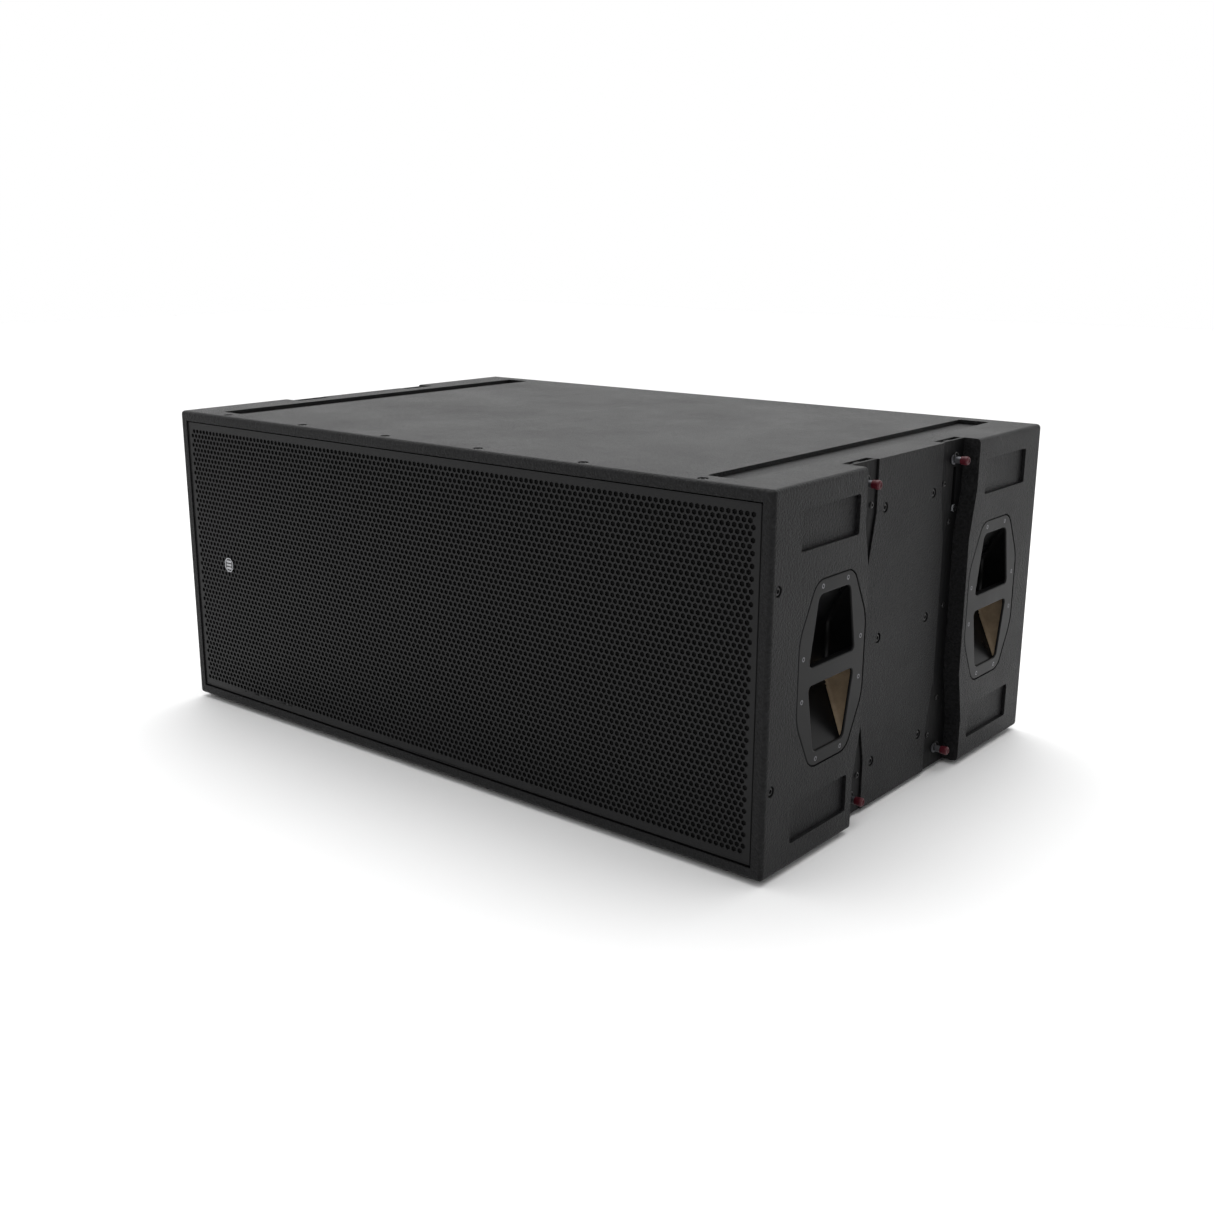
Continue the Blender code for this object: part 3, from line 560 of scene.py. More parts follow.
def enamelled_aluminium():
    """Satin brushed aluminium with dark enamel in its sunk field."""
    made, tree, shader, place = material("aluminium, brushed and enamelled")
    lay = add_node(tree, "Mapping", {"Vector": place, "Scale": (0.08, 1.0, 1.0)}).outputs["Vector"]
    brush = noise(tree, lay, 0.7, 3.0)
    depth = add_node(tree, "SeparateXYZ", {0: place}).outputs["Y"]
    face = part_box("badge")[0].y
    enamel = spread(tree, depth, 0.0, 1.0, face + 0.0004, face + 0.0005)
    metal = tinted(tree, linear_colour("A8A9AC"), brush, 0.10)
    dark = linear_colour("161617") + [1.0]
    set_inputs(tree, shader, {
        "Base Color": add_node(tree, "Mix", {0: enamel, 6: metal, 7: dark}, data_type="RGBA").outputs[2],
        "Metallic": spread(tree, enamel, 0.8, 0.0, 0.0, 1.0),
        "Roughness": spread(tree, brush, 0.38, 0.46),
        "Normal": bumped(tree, brush, 0.1, 0.1)})
    return made


FINISHES = {}


def finish(key):
    """Each finish is made once and shared."""
    makers = {
        "coating": polyurethane_coating,
        "grille": lambda: powder_coat("powder coated perforated steel",
                                      bpy.context.scene.speaker_colours.grille),
        "rail": worn_powder_coat,
        "zinc": zinc_plate,
        "nylon": lambda: glass_filled_nylon("glass-filled nylon, moulded", 0.36, 0.10),
        "cup": lambda: glass_filled_nylon("glass-filled nylon, polished mould", 0.30, 0.12),
        "pin": red_pin_plastic,
        "foam": reticulated_foam,
        # Real birch on the inner pieces; on the handle cups' lining it is painted light.
        "birch": birch_plywood,
        "badge": enamelled_aluminium,
        "screw": lambda: cast_or_moulded("blackened screw steel", "0E0E0F", 1.0, 0.30, 0.5, 0.1),
        "bolt": lambda: cast_or_moulded("burnished bolt steel", "6C6C70", 1.0, 0.36, 0.8, 0.1),
        "skid": lambda: cast_or_moulded("polyamide, milled", "1D1D1E", 2.0, 0.55),
        "dish": lambda: cast_or_moulded("pressed steel, powder coated", "222224", 2.0, 0.42),
        "socket": lambda: cast_or_moulded("glass-filled polyamide socket", "20242C", 1.5, 0.40),
        "basket": lambda: cast_or_moulded("aluminium, die cast and coated", "3A3A3C", 2.0, 0.45, 0.5),
        "motor": lambda: cast_or_moulded("ferrite and zinc plated steel", "6E6F72", 3.0, 0.40, 0.8),
        "cone": lambda: cast_or_moulded("paper pulp, fibre loaded", "1B1B1C", 2.5, 0.82),
        "cloth": lambda: cast_or_moulded("impregnated cotton cloth", "201F1E", 1.2, 0.85),
    }
    if key not in FINISHES:
        FINISHES[key] = makers[key]()
    return FINISHES[key]


# ---------------------------------------------------------------- cabinet

HANDLE_BOXES = {place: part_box("handle_frame_%s_right" % place) for place, facing in PLACES}
HANDLE_Y = {place: (low.y + high.y) / 2 for place, (low, high) in HANDLE_BOXES.items()}
HANDLE_Z = sum(corner.z for corner in HANDLE_BOXES["front"]) / 2
HANDLE_HALF_Y = (HANDLE_BOXES["front"][1].y - HANDLE_BOXES["front"][0].y) / 2
HANDLE_HALF_Z = (HANDLE_BOXES["front"][1].z - HANDLE_BOXES["front"][0].z) / 2
HANDLE_FACE_X = HANDLE_BOXES["front"][1].x
REACH = 0.020                 # how far a cutter runs past the face that it opens
POCKET_Y = {"front": -0.277, "rear": 0.288}
SCREW_RADIUS = 0.0070
SCREW_SEAT = 0.0040           # depth of the counterbore that a panel screw sits in
DISH_TRAY = 0.020             # how far the connector dish's tray is inside its flange


def corners():
    """The cabinet's four side corners: tag, place, hand, which side of the middle in X and in Y."""
    for place, facing in PLACES:
        for hand, side in HANDS:
            yield place + "_" + hand, place, hand, side, facing


def mirrored(x_low, x_high, side):
    return side * x_low, side * x_high


def side_block(name, side, x_range, y_range, z_range):
    x_low, x_high = mirrored(*x_range, side)
    return add_block(name, (x_low, y_range[0], z_range[0]), (x_high, y_range[1], z_range[1]))


def groove_cutter(side, centre_y, sizes):
    """The waisted rigging groove between the top and bottom panels."""
    low, high = BOX_LOW.z + PLY, BOX_HIGH.z - PLY
    cutter = side_block("groove_cutter", side, (SIDE_WALL_X, BOX_HIGH.x + REACH),
                        (centre_y - sizes.groove_end, centre_y + sizes.groove_end), (low, high))
    inner = [BOX_LOW.z + sizes.bend_inner, BOX_HIGH.z - sizes.bend_inner]
    for height in [BOX_LOW.z + sizes.bend_outer, *inner, BOX_HIGH.z - sizes.bend_outer]:
        shape(cutter, "FACE", everything,
              (bpy.ops.mesh.bisect, {"plane_co": (0, 0, height), "plane_no": (0, 0, 1)}))
    near = 0.001
    narrow = sizes.groove_waist / sizes.groove_end
    shape(cutter, "VERT", lambda v: inner[0] - near < v.co.z < inner[1] + near,
          (bpy.ops.transform.resize, {"value": (1, narrow, 1), "center_override": (0, centre_y, 0)}))
    return cutter


def handle_outline(name, side, x_range, place, inset, sizes):
    """An octagonal solid that follows a handle's outline, drawn in by an inset."""
    slope = inset * math.tan(math.pi / 8)
    return octagon_block(name, mirrored(*x_range, side), HANDLE_Y[place], HANDLE_HALF_Y - inset,
                         HANDLE_HALF_Z - inset, sizes.flat_y - slope, sizes.flat_z - slope)


def on_outer_face(edge):
    """An edge that lies on one of the box's outer faces, clear of the rounded outer edges."""
    near = 0.0002
    a, b = (v.co for v in edge.verts)
    for axis, low, high in ((0, -BOX_HIGH.x, BOX_HIGH.x), (1, BOX_LOW.y, BOX_HIGH.y),
                            (2, BOX_LOW.z, BOX_HIGH.z), (0, -PANEL_X, PANEL_X)):
        for level in (low, high):
            if abs(a[axis] - level) < near and abs(b[axis] - level) < near:
                return True
    return False


def panel_screw_places():
    """Where the grille's and the side panels' screws sit: (point on the surface, direction)."""
    edge_y = BOX_LOW.y + 0.017
    places = []
    for x in (-0.525, -0.315, -0.105, 0.105, 0.315, 0.525):
        places.append((Vector((x, edge_y, BOX_HIGH.z)), (0, 0, 1)))
        places.append((Vector((x, edge_y, BOX_LOW.z)), (0, 0, -1)))
    for hand, side in HANDS:
        for height in (0.131, 0.413):
            places.append((Vector((side * BOX_HIGH.x, edge_y, BOX_LOW.z + height)), (side, 0, 0)))
        for y in (-0.0785, 0.0785):
            for height in (0.072, 0.272, 0.474):
                places.append((Vector((side * PANEL_X, y, BOX_LOW.z + height)), (side, 0, 0)))
    return places


class SPEAKER_OT_cabinet_shell(bpy.types.Operator):
    """The coated plywood box with its grooves, pockets, channels and openings"""
    bl_idname = "speaker.cabinet_shell"
    bl_label = "Cabinet shell"

    def execute(self, context):
        sizes = context.scene.speaker_cabinet
        handle = context.scene.speaker_handle
        low, high = BOX_LOW, BOX_HIGH
        shell = add_block("cabinet_shell", low, high)
        shape(shell, "EDGE", everything, bevel(sizes.edge_radius, 4))
        inner_z = (low.z + PLY, high.z - PLY)
        skin_x = high.x - PLY
        hollow_y = GROOVE_Y + sizes.groove_end + PLY
        overlap = 0.001
        for half_x, y_range in ((skin_x, (low.y - REACH, -hollow_y)),
                                (SIDE_WALL_X, (-hollow_y - overlap, hollow_y + overlap)),
                                (skin_x, (hollow_y, high.y - PLY))):
            combine(shell, add_block("hollow", (-half_x, y_range[0], inner_z[0]),
                                     (half_x, y_range[1], inner_z[1])))
        overshoot = 0.0005
        for hand, side in HANDS:
            combine(shell, side_block("step", side, (PANEL_X, high.x + REACH),
                                      (-GROOVE_Y, GROOVE_Y), (low.z - REACH, high.z + REACH)))
            for place, facing in PLACES:
                centre_y = facing * GROOVE_Y
                combine(shell, groove_cutter(side, centre_y, sizes))
                for level in ((low.z - REACH, low.z + PLY + overshoot),
                              (high.z - PLY - overshoot, high.z + REACH)):
                    combine(shell, side_block("notch", side, (sizes.notch_x, high.x + REACH), (
                        centre_y - sizes.groove_end, centre_y + sizes.groove_end), level))
                self.cut_handle(shell, side, place, handle)
                for height in (low.z + sizes.pocket_offset, high.z - sizes.pocket_offset):
                    self.cut_pocket(shell, side, POCKET_Y[place], height, sizes)
            self.cut_channel(shell, side, sizes)
        seats = copies("screw_seats", turned("seat", [(-SCREW_SEAT, SCREW_RADIUS + 0.0010),
                                                      (REACH, SCREW_RADIUS + 0.0010)], 20),
                       panel_screw_places())
        combine(shell, seats)
        dish_low, dish_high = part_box("connector_dish")
        flange_seat, fit = 0.0025, 0.0003
        for inset, depth in ((DISH_TRAY, PLY + REACH), (-fit, flange_seat)):
            combine(shell, add_block("dish_cutter", (dish_low.x + inset, high.y - depth, dish_low.z + inset),
                                     (dish_high.x - inset, high.y + REACH, dish_high.z - inset)))
        shape(shell, "VERT", everything,
              (bpy.ops.mesh.remove_doubles, {"threshold": 0.00005}),
              (bpy.ops.mesh.dissolve_limited, {"angle_limit": math.radians(0.5)}))
        is_sharp = sharp(40)
        shape(shell, "EDGE", lambda edge: is_sharp(edge) and on_outer_face(edge),
              bevel(sizes.cut_radius, 2))
        finish_piece(shell, finish("coating"), replaced=(
            "top_panel", "bottom_panel", "rear_panel", "centre_panel_right", "centre_panel_left",
            "front_cheek_right", "front_cheek_left", "rear_cheek_right", "rear_cheek_left"))
        return {"FINISHED"}

    def cut_handle(self, shell, side, place, handle):
        """The sunk seat of a handle's frame and the hole for its cup."""
        clearance = 0.0006
        seat_x = HANDLE_FACE_X - handle.flange - clearance
        seat = handle_outline("seat", side, (seat_x, BOX_HIGH.x + REACH), place, -handle.gap, handle)
        shape(seat, "EDGE", along(0), bevel(handle.corner_radius, 4))
        combine(shell, seat)
        hole = handle_outline("hole", side, (SIDE_WALL_X, BOX_HIGH.x), place,
                              handle.cup_inset - clearance, handle)
        combine(shell, hole)

    def cut_pocket(self, shell, side, centre_y, centre_z, sizes):
        half_y, half_z = sizes.pocket_length / 2, sizes.pocket_height / 2
        pocket = side_block("pocket", side, (BOX_HIGH.x - sizes.pocket_depth, BOX_HIGH.x + REACH),
                            (centre_y - half_y, centre_y + half_y), (centre_z - half_z, centre_z + half_z))
        shape(pocket, "EDGE", along(0), bevel(0.004, 3))
        combine(shell, pocket)

    def cut_channel(self, shell, side, sizes):
        half = sizes.channel_width / 2
        channel = side_block("channel", side, (sizes.channel_x - half, sizes.channel_x + half),
                             (BOX_LOW.y + sizes.channel_front, BOX_LOW.y + sizes.channel_rear),
                             (BOX_HIGH.z - sizes.channel_depth, BOX_HIGH.z + REACH))
        shape(channel, "EDGE", along(2), bevel(0.006, 4))
        combine(shell, channel)


# ---------------------------------------------------------------- front

class SPEAKER_OT_grille(bpy.types.Operator):
    """The folded steel grille with its hexagonal holes, in two halves"""
    bl_idname = "speaker.grille"
    bl_label = "Grille"

    def execute(self, context):
        sizes = context.scene.speaker_grille
        low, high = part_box("grille")
        sheet = self.perforated_sheet(low, high, sizes)
        self.fold_edges(sheet, low, high, sizes)
        halves = []
        for hand, side in HANDS:
            half = add_object("grille_" + hand + "_half", sheet.data.copy())
            shape(half, "FACE", everything,
                  (bpy.ops.mesh.bisect, {"plane_co": (0, 0, 0), "plane_no": (side, 0, 0),
                                         "clear_inner": True}))
            apply_modifier(half, "SOLIDIFY", thickness=sizes.sheet, offset=-1.0)
            halves.append(half)
        bpy.data.objects.remove(sheet, do_unlink=True)
        for half in halves:
            finish_piece(half, finish("grille"), replaced=("grille",), smooth=30)
        return {"FINISHED"}

    def perforated_sheet(self, low, high, sizes):
        """A flat sheet in the front plane: honeycomb cells, a plain margin and inset holes."""
        front_y = low.y
        row = sizes.pitch * math.sqrt(3) / 2
        columns = int((high.x - low.x - 2 * sizes.side_margin) / sizes.pitch - 0.5)
        rows = int((high.z - low.z - 2 * sizes.top_margin) / row)
        cell_radius = sizes.pitch / math.sqrt(3)
        start_x = -(columns - 0.5) * sizes.pitch / 2
        start_z = (low.z + high.z) / 2 - (rows - 1) * row / 2
        strips = []
        for parity in (0, 1):
            deselect_all()
            bpy.ops.mesh.primitive_circle_add(vertices=6, radius=cell_radius, fill_type="NGON",
                                              rotation=(math.pi / 2, 0, 0))
            cell = bpy.context.object
            bpy.ops.object.transform_apply(rotation=True)
            shift = Vector((start_x + parity * sizes.pitch / 2, front_y, start_z + parity * row))
            cell.data.transform(Matrix.Translation(shift))
            apply_modifier(cell, "ARRAY", count=columns, use_relative_offset=False,
                           use_constant_offset=True, constant_offset_displace=(sizes.pitch, 0, 0))
            apply_modifier(cell, "ARRAY", count=(rows + 1 - parity) // 2, use_relative_offset=False,
                           use_constant_offset=True, constant_offset_displace=(0, 0, 2 * row))
            strips.append(cell)
        sheet = join("grille_sheet", strips)
        shape(sheet, "VERT", everything, (bpy.ops.mesh.remove_doubles, {"threshold": 0.0004}))
        deselect_all()
        bpy.ops.mesh.primitive_plane_add(size=1, rotation=(math.pi / 2, 0, 0),
                                         location=(0, front_y, (low.z + high.z) / 2))
        rim = bpy.context.object
        rim.scale = (high.x - low.x, high.z - low.z, 1)
        bpy.ops.object.transform_apply(location=True, rotation=True, scale=True)
        shape(rim, "FACE", everything, (bpy.ops.mesh.delete, {"type": "ONLY_FACE"}))
        sheet = join("grille_sheet", [sheet, rim])
        shape(sheet, "EDGE", lambda edge: len(edge.link_faces) < 2,
              (bpy.ops.mesh.fill, {"use_beauty": False}))
        shape(sheet, "FACE", lambda face: len(face.verts) == 6,
              (bpy.ops.mesh.inset, {"thickness": sizes.bar / 2, "use_individual": True}),
              (bpy.ops.mesh.delete, {"type": "FACE"}))
        return sheet

    def fold_edges(self, sheet, low, high, sizes):
        """Turn the sheet's four outer edges back and round the folds."""
        def on_rim(edge):
            middle = (edge.verts[0].co + edge.verts[1].co) / 2
            off_rim = (abs(middle.x) - high.x, middle.z - low.z, middle.z - high.z)
            return len(edge.link_faces) == 1 and min(abs(distance) for distance in off_rim) < NEAR

        back = high.y - low.y - sizes.sheet
        shape(sheet, "EDGE", on_rim,
              (bpy.ops.mesh.extrude_region_move, {"TRANSFORM_OT_translate": {"value": (0, back, 0)}}))
        shape(sheet, "FACE", everything, (bpy.ops.mesh.normals_make_consistent, {"inside": False}))
        shape(sheet, "EDGE", sharp(60), bevel(sizes.fold_radius, 3))
        if sheet.data.polygons[0].normal.y > 0:
            shape(sheet, "FACE", everything, (bpy.ops.mesh.flip_normals, {}))


class SPEAKER_OT_grille_foam(bpy.types.Operator):
    """The thin foam lining glued behind the grille"""
    bl_idname = "speaker.grille_foam"
    bl_label = "Grille foam"

    def execute(self, context):
        sizes = context.scene.speaker_grille
        low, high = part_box("grille_foam")
        relief = sizes.foam_pores
        deselect_all()
        bpy.ops.mesh.primitive_grid_add(x_subdivisions=160, y_subdivisions=64, size=1,
                                        rotation=(math.pi / 2, 0, 0),
                                        location=(0, low.y + relief, (low.z + high.z) / 2))
        foam = bpy.context.object
        foam.name = "foam_lining"
        foam.scale = (high.x - low.x, high.z - low.z, 1)
        bpy.ops.object.transform_apply(location=True, rotation=True, scale=True)
        waves = bpy.data.textures.new("foam waves", "CLOUDS")
        waves.noise_scale = 0.03
        apply_modifier(foam, "DISPLACE", texture=waves, texture_coords="LOCAL", direction="Y",
                       strength=relief, mid_level=0.5)
        apply_modifier(foam, "SOLIDIFY", thickness=high.y - low.y - 2 * relief, offset=-1.0)
        finish_piece(foam, finish("foam"), replaced=("grille_foam",))
        return {"FINISHED"}


class SPEAKER_OT_badge(bpy.types.Operator):
    """A small unmarked badge: an eight-sided plate with a sunk field and three ribs"""
    bl_idname = "speaker.badge"
    bl_label = "Badge"

    def execute(self, context):
        low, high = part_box("badge")
        inset = Vector((0.0010, 0.0, 0.0020))
        badge = add_block("plain_badge", low + inset, high - inset)
        shape(badge, "EDGE", along(1), bevel(0.007, 1))
        shape(badge, "FACE", lambda face: face.normal.y < -0.9,
              (bpy.ops.mesh.inset, {"thickness": 0.0015}),
              (bpy.ops.mesh.inset, {"thickness": 0.0005, "depth": -0.0007}))
        shape(badge, "EDGE", sharp(50, lambda place: place.y < low.y + NEAR), bevel(0.0002, 2))
        centre = (low + high) / 2
        half = (high.x - low.x) * 0.28
        pitch = 0.0062
        for step in (-1, 0, 1):
            middle = centre.z + step * pitch
            rib = add_block("rib", (centre.x - half, low.y + 0.0002, middle - 0.0019),
                            (centre.x + half, high.y - 0.0002, middle + 0.0019))
            combine(badge, rib, "UNION")
        finish_piece(badge, finish("badge"), replaced=("badge",))
        return {"FINISHED"}


# ---------------------------------------------------------------- handles

class SPEAKER_OT_handles(bpy.types.Operator):
    """Four recessed handles: frame with a grab bar, glossy cup and screws"""
    bl_idname = "speaker.handles"
    bl_label = "Handles"

    def execute(self, context):
        sizes = context.scene.speaker_handle
        for tag, place, hand, side, facing in corners():
            self.add_frame(tag, side, place, sizes)
            self.add_cup(tag, side, place, sizes)
            self.place_screws(tag, side, place)
        return {"FINISHED"}

    def add_frame(self, tag, side, place, sizes):
        face_x = HANDLE_FACE_X
        flange_x = face_x - sizes.flange
        centre_y = HANDLE_Y[place]
        bar = handle_outline("handle_" + tag, side, (flange_x, face_x), place, 0.0, sizes)
        shape(bar, "EDGE", along(0), bevel(sizes.corner_radius, 5))
        grab_half_y = HANDLE_HALF_Y - sizes.cup_inset - 0.005
        grab = side_block("grab", side, (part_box("handle_frame_front_right")[0].x, face_x - 0.0004),
                          (centre_y - grab_half_y, centre_y + grab_half_y),
                          (HANDLE_Z - sizes.bar_half, HANDLE_Z + sizes.bar_half))
        shape(grab, "EDGE", along(1), bevel(0.005, 4))
        combine(bar, grab, "UNION")
        for up in (1, -1):
            near = HANDLE_Z + up * sizes.bar_half
            far = HANDLE_Z + up * sizes.grip_reach
            opening = side_block("opening", side, (flange_x - REACH, face_x + REACH),
                                 (centre_y - sizes.grip_wide, centre_y + sizes.grip_wide),
                                 sorted((near, far)))
            ratio = sizes.grip_narrow / sizes.grip_wide
            shape(opening, "VERT", lambda v: abs(v.co.z - far) < 0.001,
                  (bpy.ops.transform.resize, {"value": (1, ratio, 1), "center_override": (0, centre_y, far)}))
            shape(opening, "EDGE", along(0), bevel(sizes.grip_radius, 4))
            combine(bar, opening)
        shape(bar, "VERT", everything, (bpy.ops.mesh.remove_doubles, {"threshold": 0.00005}))
        shape(bar, "EDGE", sharp(50, lambda place: abs(place.x) > face_x - NEAR),
              bevel(sizes.edge_radius, 3))
        finish_piece(bar, finish("nylon"), replaced=("handle_frame_" + tag,))

    def add_cup(self, tag, side, place, sizes):
        """An open scoop with a ramp above and below its floor, and a pale birch lining in its lower corners
        that is painted light: it stands in for the light caught by the cup's wall there.
        """
        floor_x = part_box("handle_cup_front_right")[0].x + sizes.cup_wall
        mouth_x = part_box("handle_cup_front_right")[1].x
        inset = sizes.cup_inset + sizes.cup_wall
        cup = handle_outline("handle_scoop_" + tag, side, (floor_x, mouth_x), place, inset, sizes)
        for up in (1, -1):
            slice_off(cup, (side * floor_x, 0, HANDLE_Z + up * sizes.cup_floor_half),
                      (-side * sizes.cup_ramp, 0, up))
        shape(cup, "FACE", lambda face: face.normal.x * side > 0.9,
              (bpy.ops.mesh.delete, {"type": "FACE"}))
        shape(cup, "EDGE", lambda edge: len(edge.link_faces) == 2, bevel(sizes.cup_radius, 4))
        # Painted light: a pale birch lining in the cup's lower corners, in place of the light that the glossy
        # cup wall catches there.
        painted_light_liner = add_object("painted_light_liner_" + tag, cup.data.copy())
        shape(painted_light_liner, "FACE", everything,
              (bpy.ops.mesh.bisect, {"plane_co": (0, 0, HANDLE_Z - sizes.bar_half), "plane_no": (0, 0, 1),
                                     "clear_outer": True}))
        shape(painted_light_liner, "FACE", lambda face: abs(face.normal.y) < 0.45,
              (bpy.ops.mesh.delete, {"type": "FACE"}))
        apply_modifier(painted_light_liner, "SOLIDIFY", thickness=sizes.cup_wall / 3, offset=-1.0)
        finish_piece(painted_light_liner, finish("birch"), smooth=60)
        apply_modifier(cup, "SOLIDIFY", thickness=sizes.cup_wall, offset=1.0)
        finish_piece(cup, finish("cup"), replaced=("handle_cup_" + tag,), smooth=60)

    def place_screws(self, tag, side, place):
        """Eight countersunk screws around the frame."""
        sunk = 0.0017
        places = []
        for across, up in ((0.034, 0.1265), (0.0785, 0.031)):
            for sign_y in (-1, 1):
                for sign_z in (-1, 1):
                    point = Vector((side * (HANDLE_FACE_X - sunk), HANDLE_Y[place] + sign_y * across,
                                    HANDLE_Z + sign_z * up))
                    places.append((point, (side, 0, 0)))
        add_screws("handle_screws_" + tag, 0.0046, places, "bolt")


def screw_model(radius, sides=18):
    """A low button head with a recessed drive, pointing along +Z."""
    rise = radius * 0.42
    outline = ((0.0, 1.0), (0.4, 1.0), (0.8, 0.86), (1.0, 0.62), (1.0, 0.46), (0.25, 0.40))
    return turned("screw", [(rise * up, radius * across) for up, across in outline], sides)


def add_screws(name, radius, places, key):
    """A set of screws as one piece."""
    return finish_piece(copies(name, screw_model(radius), places), finish(key))


# ---------------------------------------------------------------- rigging

class SPEAKER_OT_rails(bpy.types.Operator):
    """Four rigging rails with softened edges and their bolts"""
    bl_idname = "speaker.rails"
    bl_label = "Rails"

    def execute(self, context):
        bolt_heights = (0.060, 0.120, 0.279, 0.418, 0.483)
        wide_below, wide_above = 0.08, 0.47
        aside = 0.026             # how far a bolt sits beside the slot at a rail's wide ends
        for tag, place, hand, side, facing in corners():
            rail = copy_of_node("rigging_rail_" + tag, "rail_" + tag)
            shape(rail, "EDGE", sharp(50), bevel(0.0007, 2))
            finish_piece(rail, finish("rail"), replaced=("rail_" + tag,))
            places = []
            for height in bolt_heights:
                wide_end = height < wide_below or height > wide_above
                offset = -facing * aside if wide_end else 0.0
                places.append((Vector((side * RAIL_HIGH.x, facing * GROOVE_Y + offset, BOX_LOW.z + height)),
                               (side, 0, 0)))
            add_screws("rail_bolts_" + tag, 0.0050, places, "screw")
        return {"FINISHED"}


class SPEAKER_OT_links(bpy.types.Operator):
    """Four lifting links, each with the thumb stud that moves it"""
    bl_idname = "speaker.links"
    bl_label = "Links"

    def execute(self, context):
        stud_height, stud_inset = 0.439, 0.006
        for tag, place, hand, side, facing in corners():
            body = "link_" + tag
            link = copy_of_node("lifting_link_" + tag, body)
            shape(link, "EDGE", sharp(50), bevel(0.0005, 2))
            finish_piece(link, finish("rail"), body=body, replaced=(body,))
            low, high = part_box(body)
            stud_y = high.y - stud_inset if facing > 0 else low.y + stud_inset
            end_x = max(abs(low.x), abs(high.x))
            knob = turned("knob", [(-0.0044, 0.0056), (-0.0040, 0.0060), (-0.0012, 0.0060),
                                   (-0.0004, 0.0054), (0.0, 0.0042), (0.0, 0.0030), (-0.0004, 0.0026)])
            spot = Vector((side * end_x, stud_y, BOX_LOW.z + stud_height))
            knob = copies("link_knob_" + tag, knob, [(spot, (side, 0, 0))])
            finish_piece(knob, finish("zinc"), body=body)
        return {"FINISHED"}


class SPEAKER_OT_pins(bpy.types.Operator):
    """Eight quick-release pins: steel shank and collar, pull ring and red head"""
    bl_idname = "speaker.pins"
    bl_label = "Pins"

    def execute(self, context):
        for end in ENDS:
            for tag, place, hand, side, facing in corners():
                self.add_pin("pin_%s_%s" % (end, tag), side)
        return {"FINISHED"}

    def add_pin(self, node, side):
        low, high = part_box(node)
        centre = (low + high) / 2
        tip = min(abs(low.x), abs(high.x))
        end = max(abs(low.x), abs(high.x))
        radius = (high.z - low.z) / 2
        collar = RAIL_HIGH.x + 0.0006
        shank_r = 0.0048
        neck_r = radius * 0.70
        ring_wire_r = 0.0009
        place = [(Vector((0, centre.y, centre.z)), (side, 0, 0))]
        shank = turned("shank", [(tip, shank_r * 0.7), (tip + 0.0015, shank_r), (collar, shank_r),
                                 (collar, radius * 0.96), (collar + 0.0004, radius),
                                 (collar + 0.0026, radius), (collar + 0.003, radius * 0.96),
                                 (collar + 0.003, neck_r), (end - 0.0120, neck_r)], 32)
        shank = copies(node + "_shank", shank, place)
        finish_piece(shank, finish("bolt"), body=node)
        start = end - 0.0128
        head_r = radius * 0.88
        head = turned("head", [(start, neck_r), (start, head_r * 0.86), (start + 0.0010, head_r * 0.94),
                               (start + 0.0040, head_r * 0.90), (start + 0.0052, head_r * 0.96),
                               (start + 0.0062, head_r), (end - 0.0026, head_r),
                               (end - 0.0010, head_r * 0.92), (end, head_r * 0.74),
                               (end, head_r * 0.56), (end - 0.0012, head_r * 0.46)], 32)
        head = copies(node + "_head", head, place)
        finish_piece(head, finish("pin"), body=node, replaced=(node,))
        deselect_all()
        ring_x = side * (collar + 0.0052)
        bpy.ops.mesh.primitive_torus_add(major_segments=32, minor_segments=10,
                                         major_radius=radius * 0.95, minor_radius=ring_wire_r,
                                         location=(ring_x, centre.y, centre.z + radius * 0.5),
                                         rotation=(0, math.pi / 2, 0))
        ring = bpy.context.object
        ring.name = node + "_ring"
        bpy.ops.object.transform_apply(location=True, rotation=True)
        finish_piece(ring, finish("screw"), body=node)


# ---------------------------------------------------------------- screws, skids and rear

class SPEAKER_OT_fasteners(bpy.types.Operator):
    """The screws of the grille and of the side panels, each in its counterbore"""
    bl_idname = "speaker.fasteners"
    bl_label = "Fasteners"

    def execute(self, context):
        places = [(point - Vector(direction) * SCREW_SEAT, direction)
                  for point, direction in panel_screw_places()]
        add_screws("panel_screws", SCREW_RADIUS, places, "screw")
        return {"FINISHED"}


class SPEAKER_OT_skids(bpy.types.Operator):
    """Two milled skid runners under the cabinet with their screws"""
    bl_idname = "speaker.skids"
    bl_label = "Skids"

    def execute(self, context):
        for hand, side in HANDS:
            low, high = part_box("skid_" + hand)
            skid = add_block("skid_runner_" + hand, low, high)
            shape(skid, "EDGE", along(2), bevel(0.008, 4))
            shape(skid, "FACE", lambda face: face.normal.z < -0.9,
                  (bpy.ops.mesh.inset, {"thickness": 0.003, "depth": 0.0}))
            shape(skid, "EDGE", sharp(60, lambda place: place.z < low.z + NEAR), bevel(0.0018, 3))
            count = 5
            step = (high.y - low.y) / count
            bores = [Vector(((low.x + high.x) / 2, low.y + step * (i + 0.5), low.z)) for i in range(count)]
            for point in bores:
                bore = turned("bore", [(-0.002, 0.0062), (0.0035, 0.0062)], 20)
                combine(skid, copies("bore", bore, [(point, (0, 0, 1))]))
            finish_piece(skid, finish("skid"), replaced=("skid_" + hand,))
            seat = Vector((0, 0, 0.0036))
            add_screws("skid_screws_" + hand, 0.0052, [(point + seat, (0, 0, -1)) for point in bores],
                       "zinc")
        return {"FINISHED"}


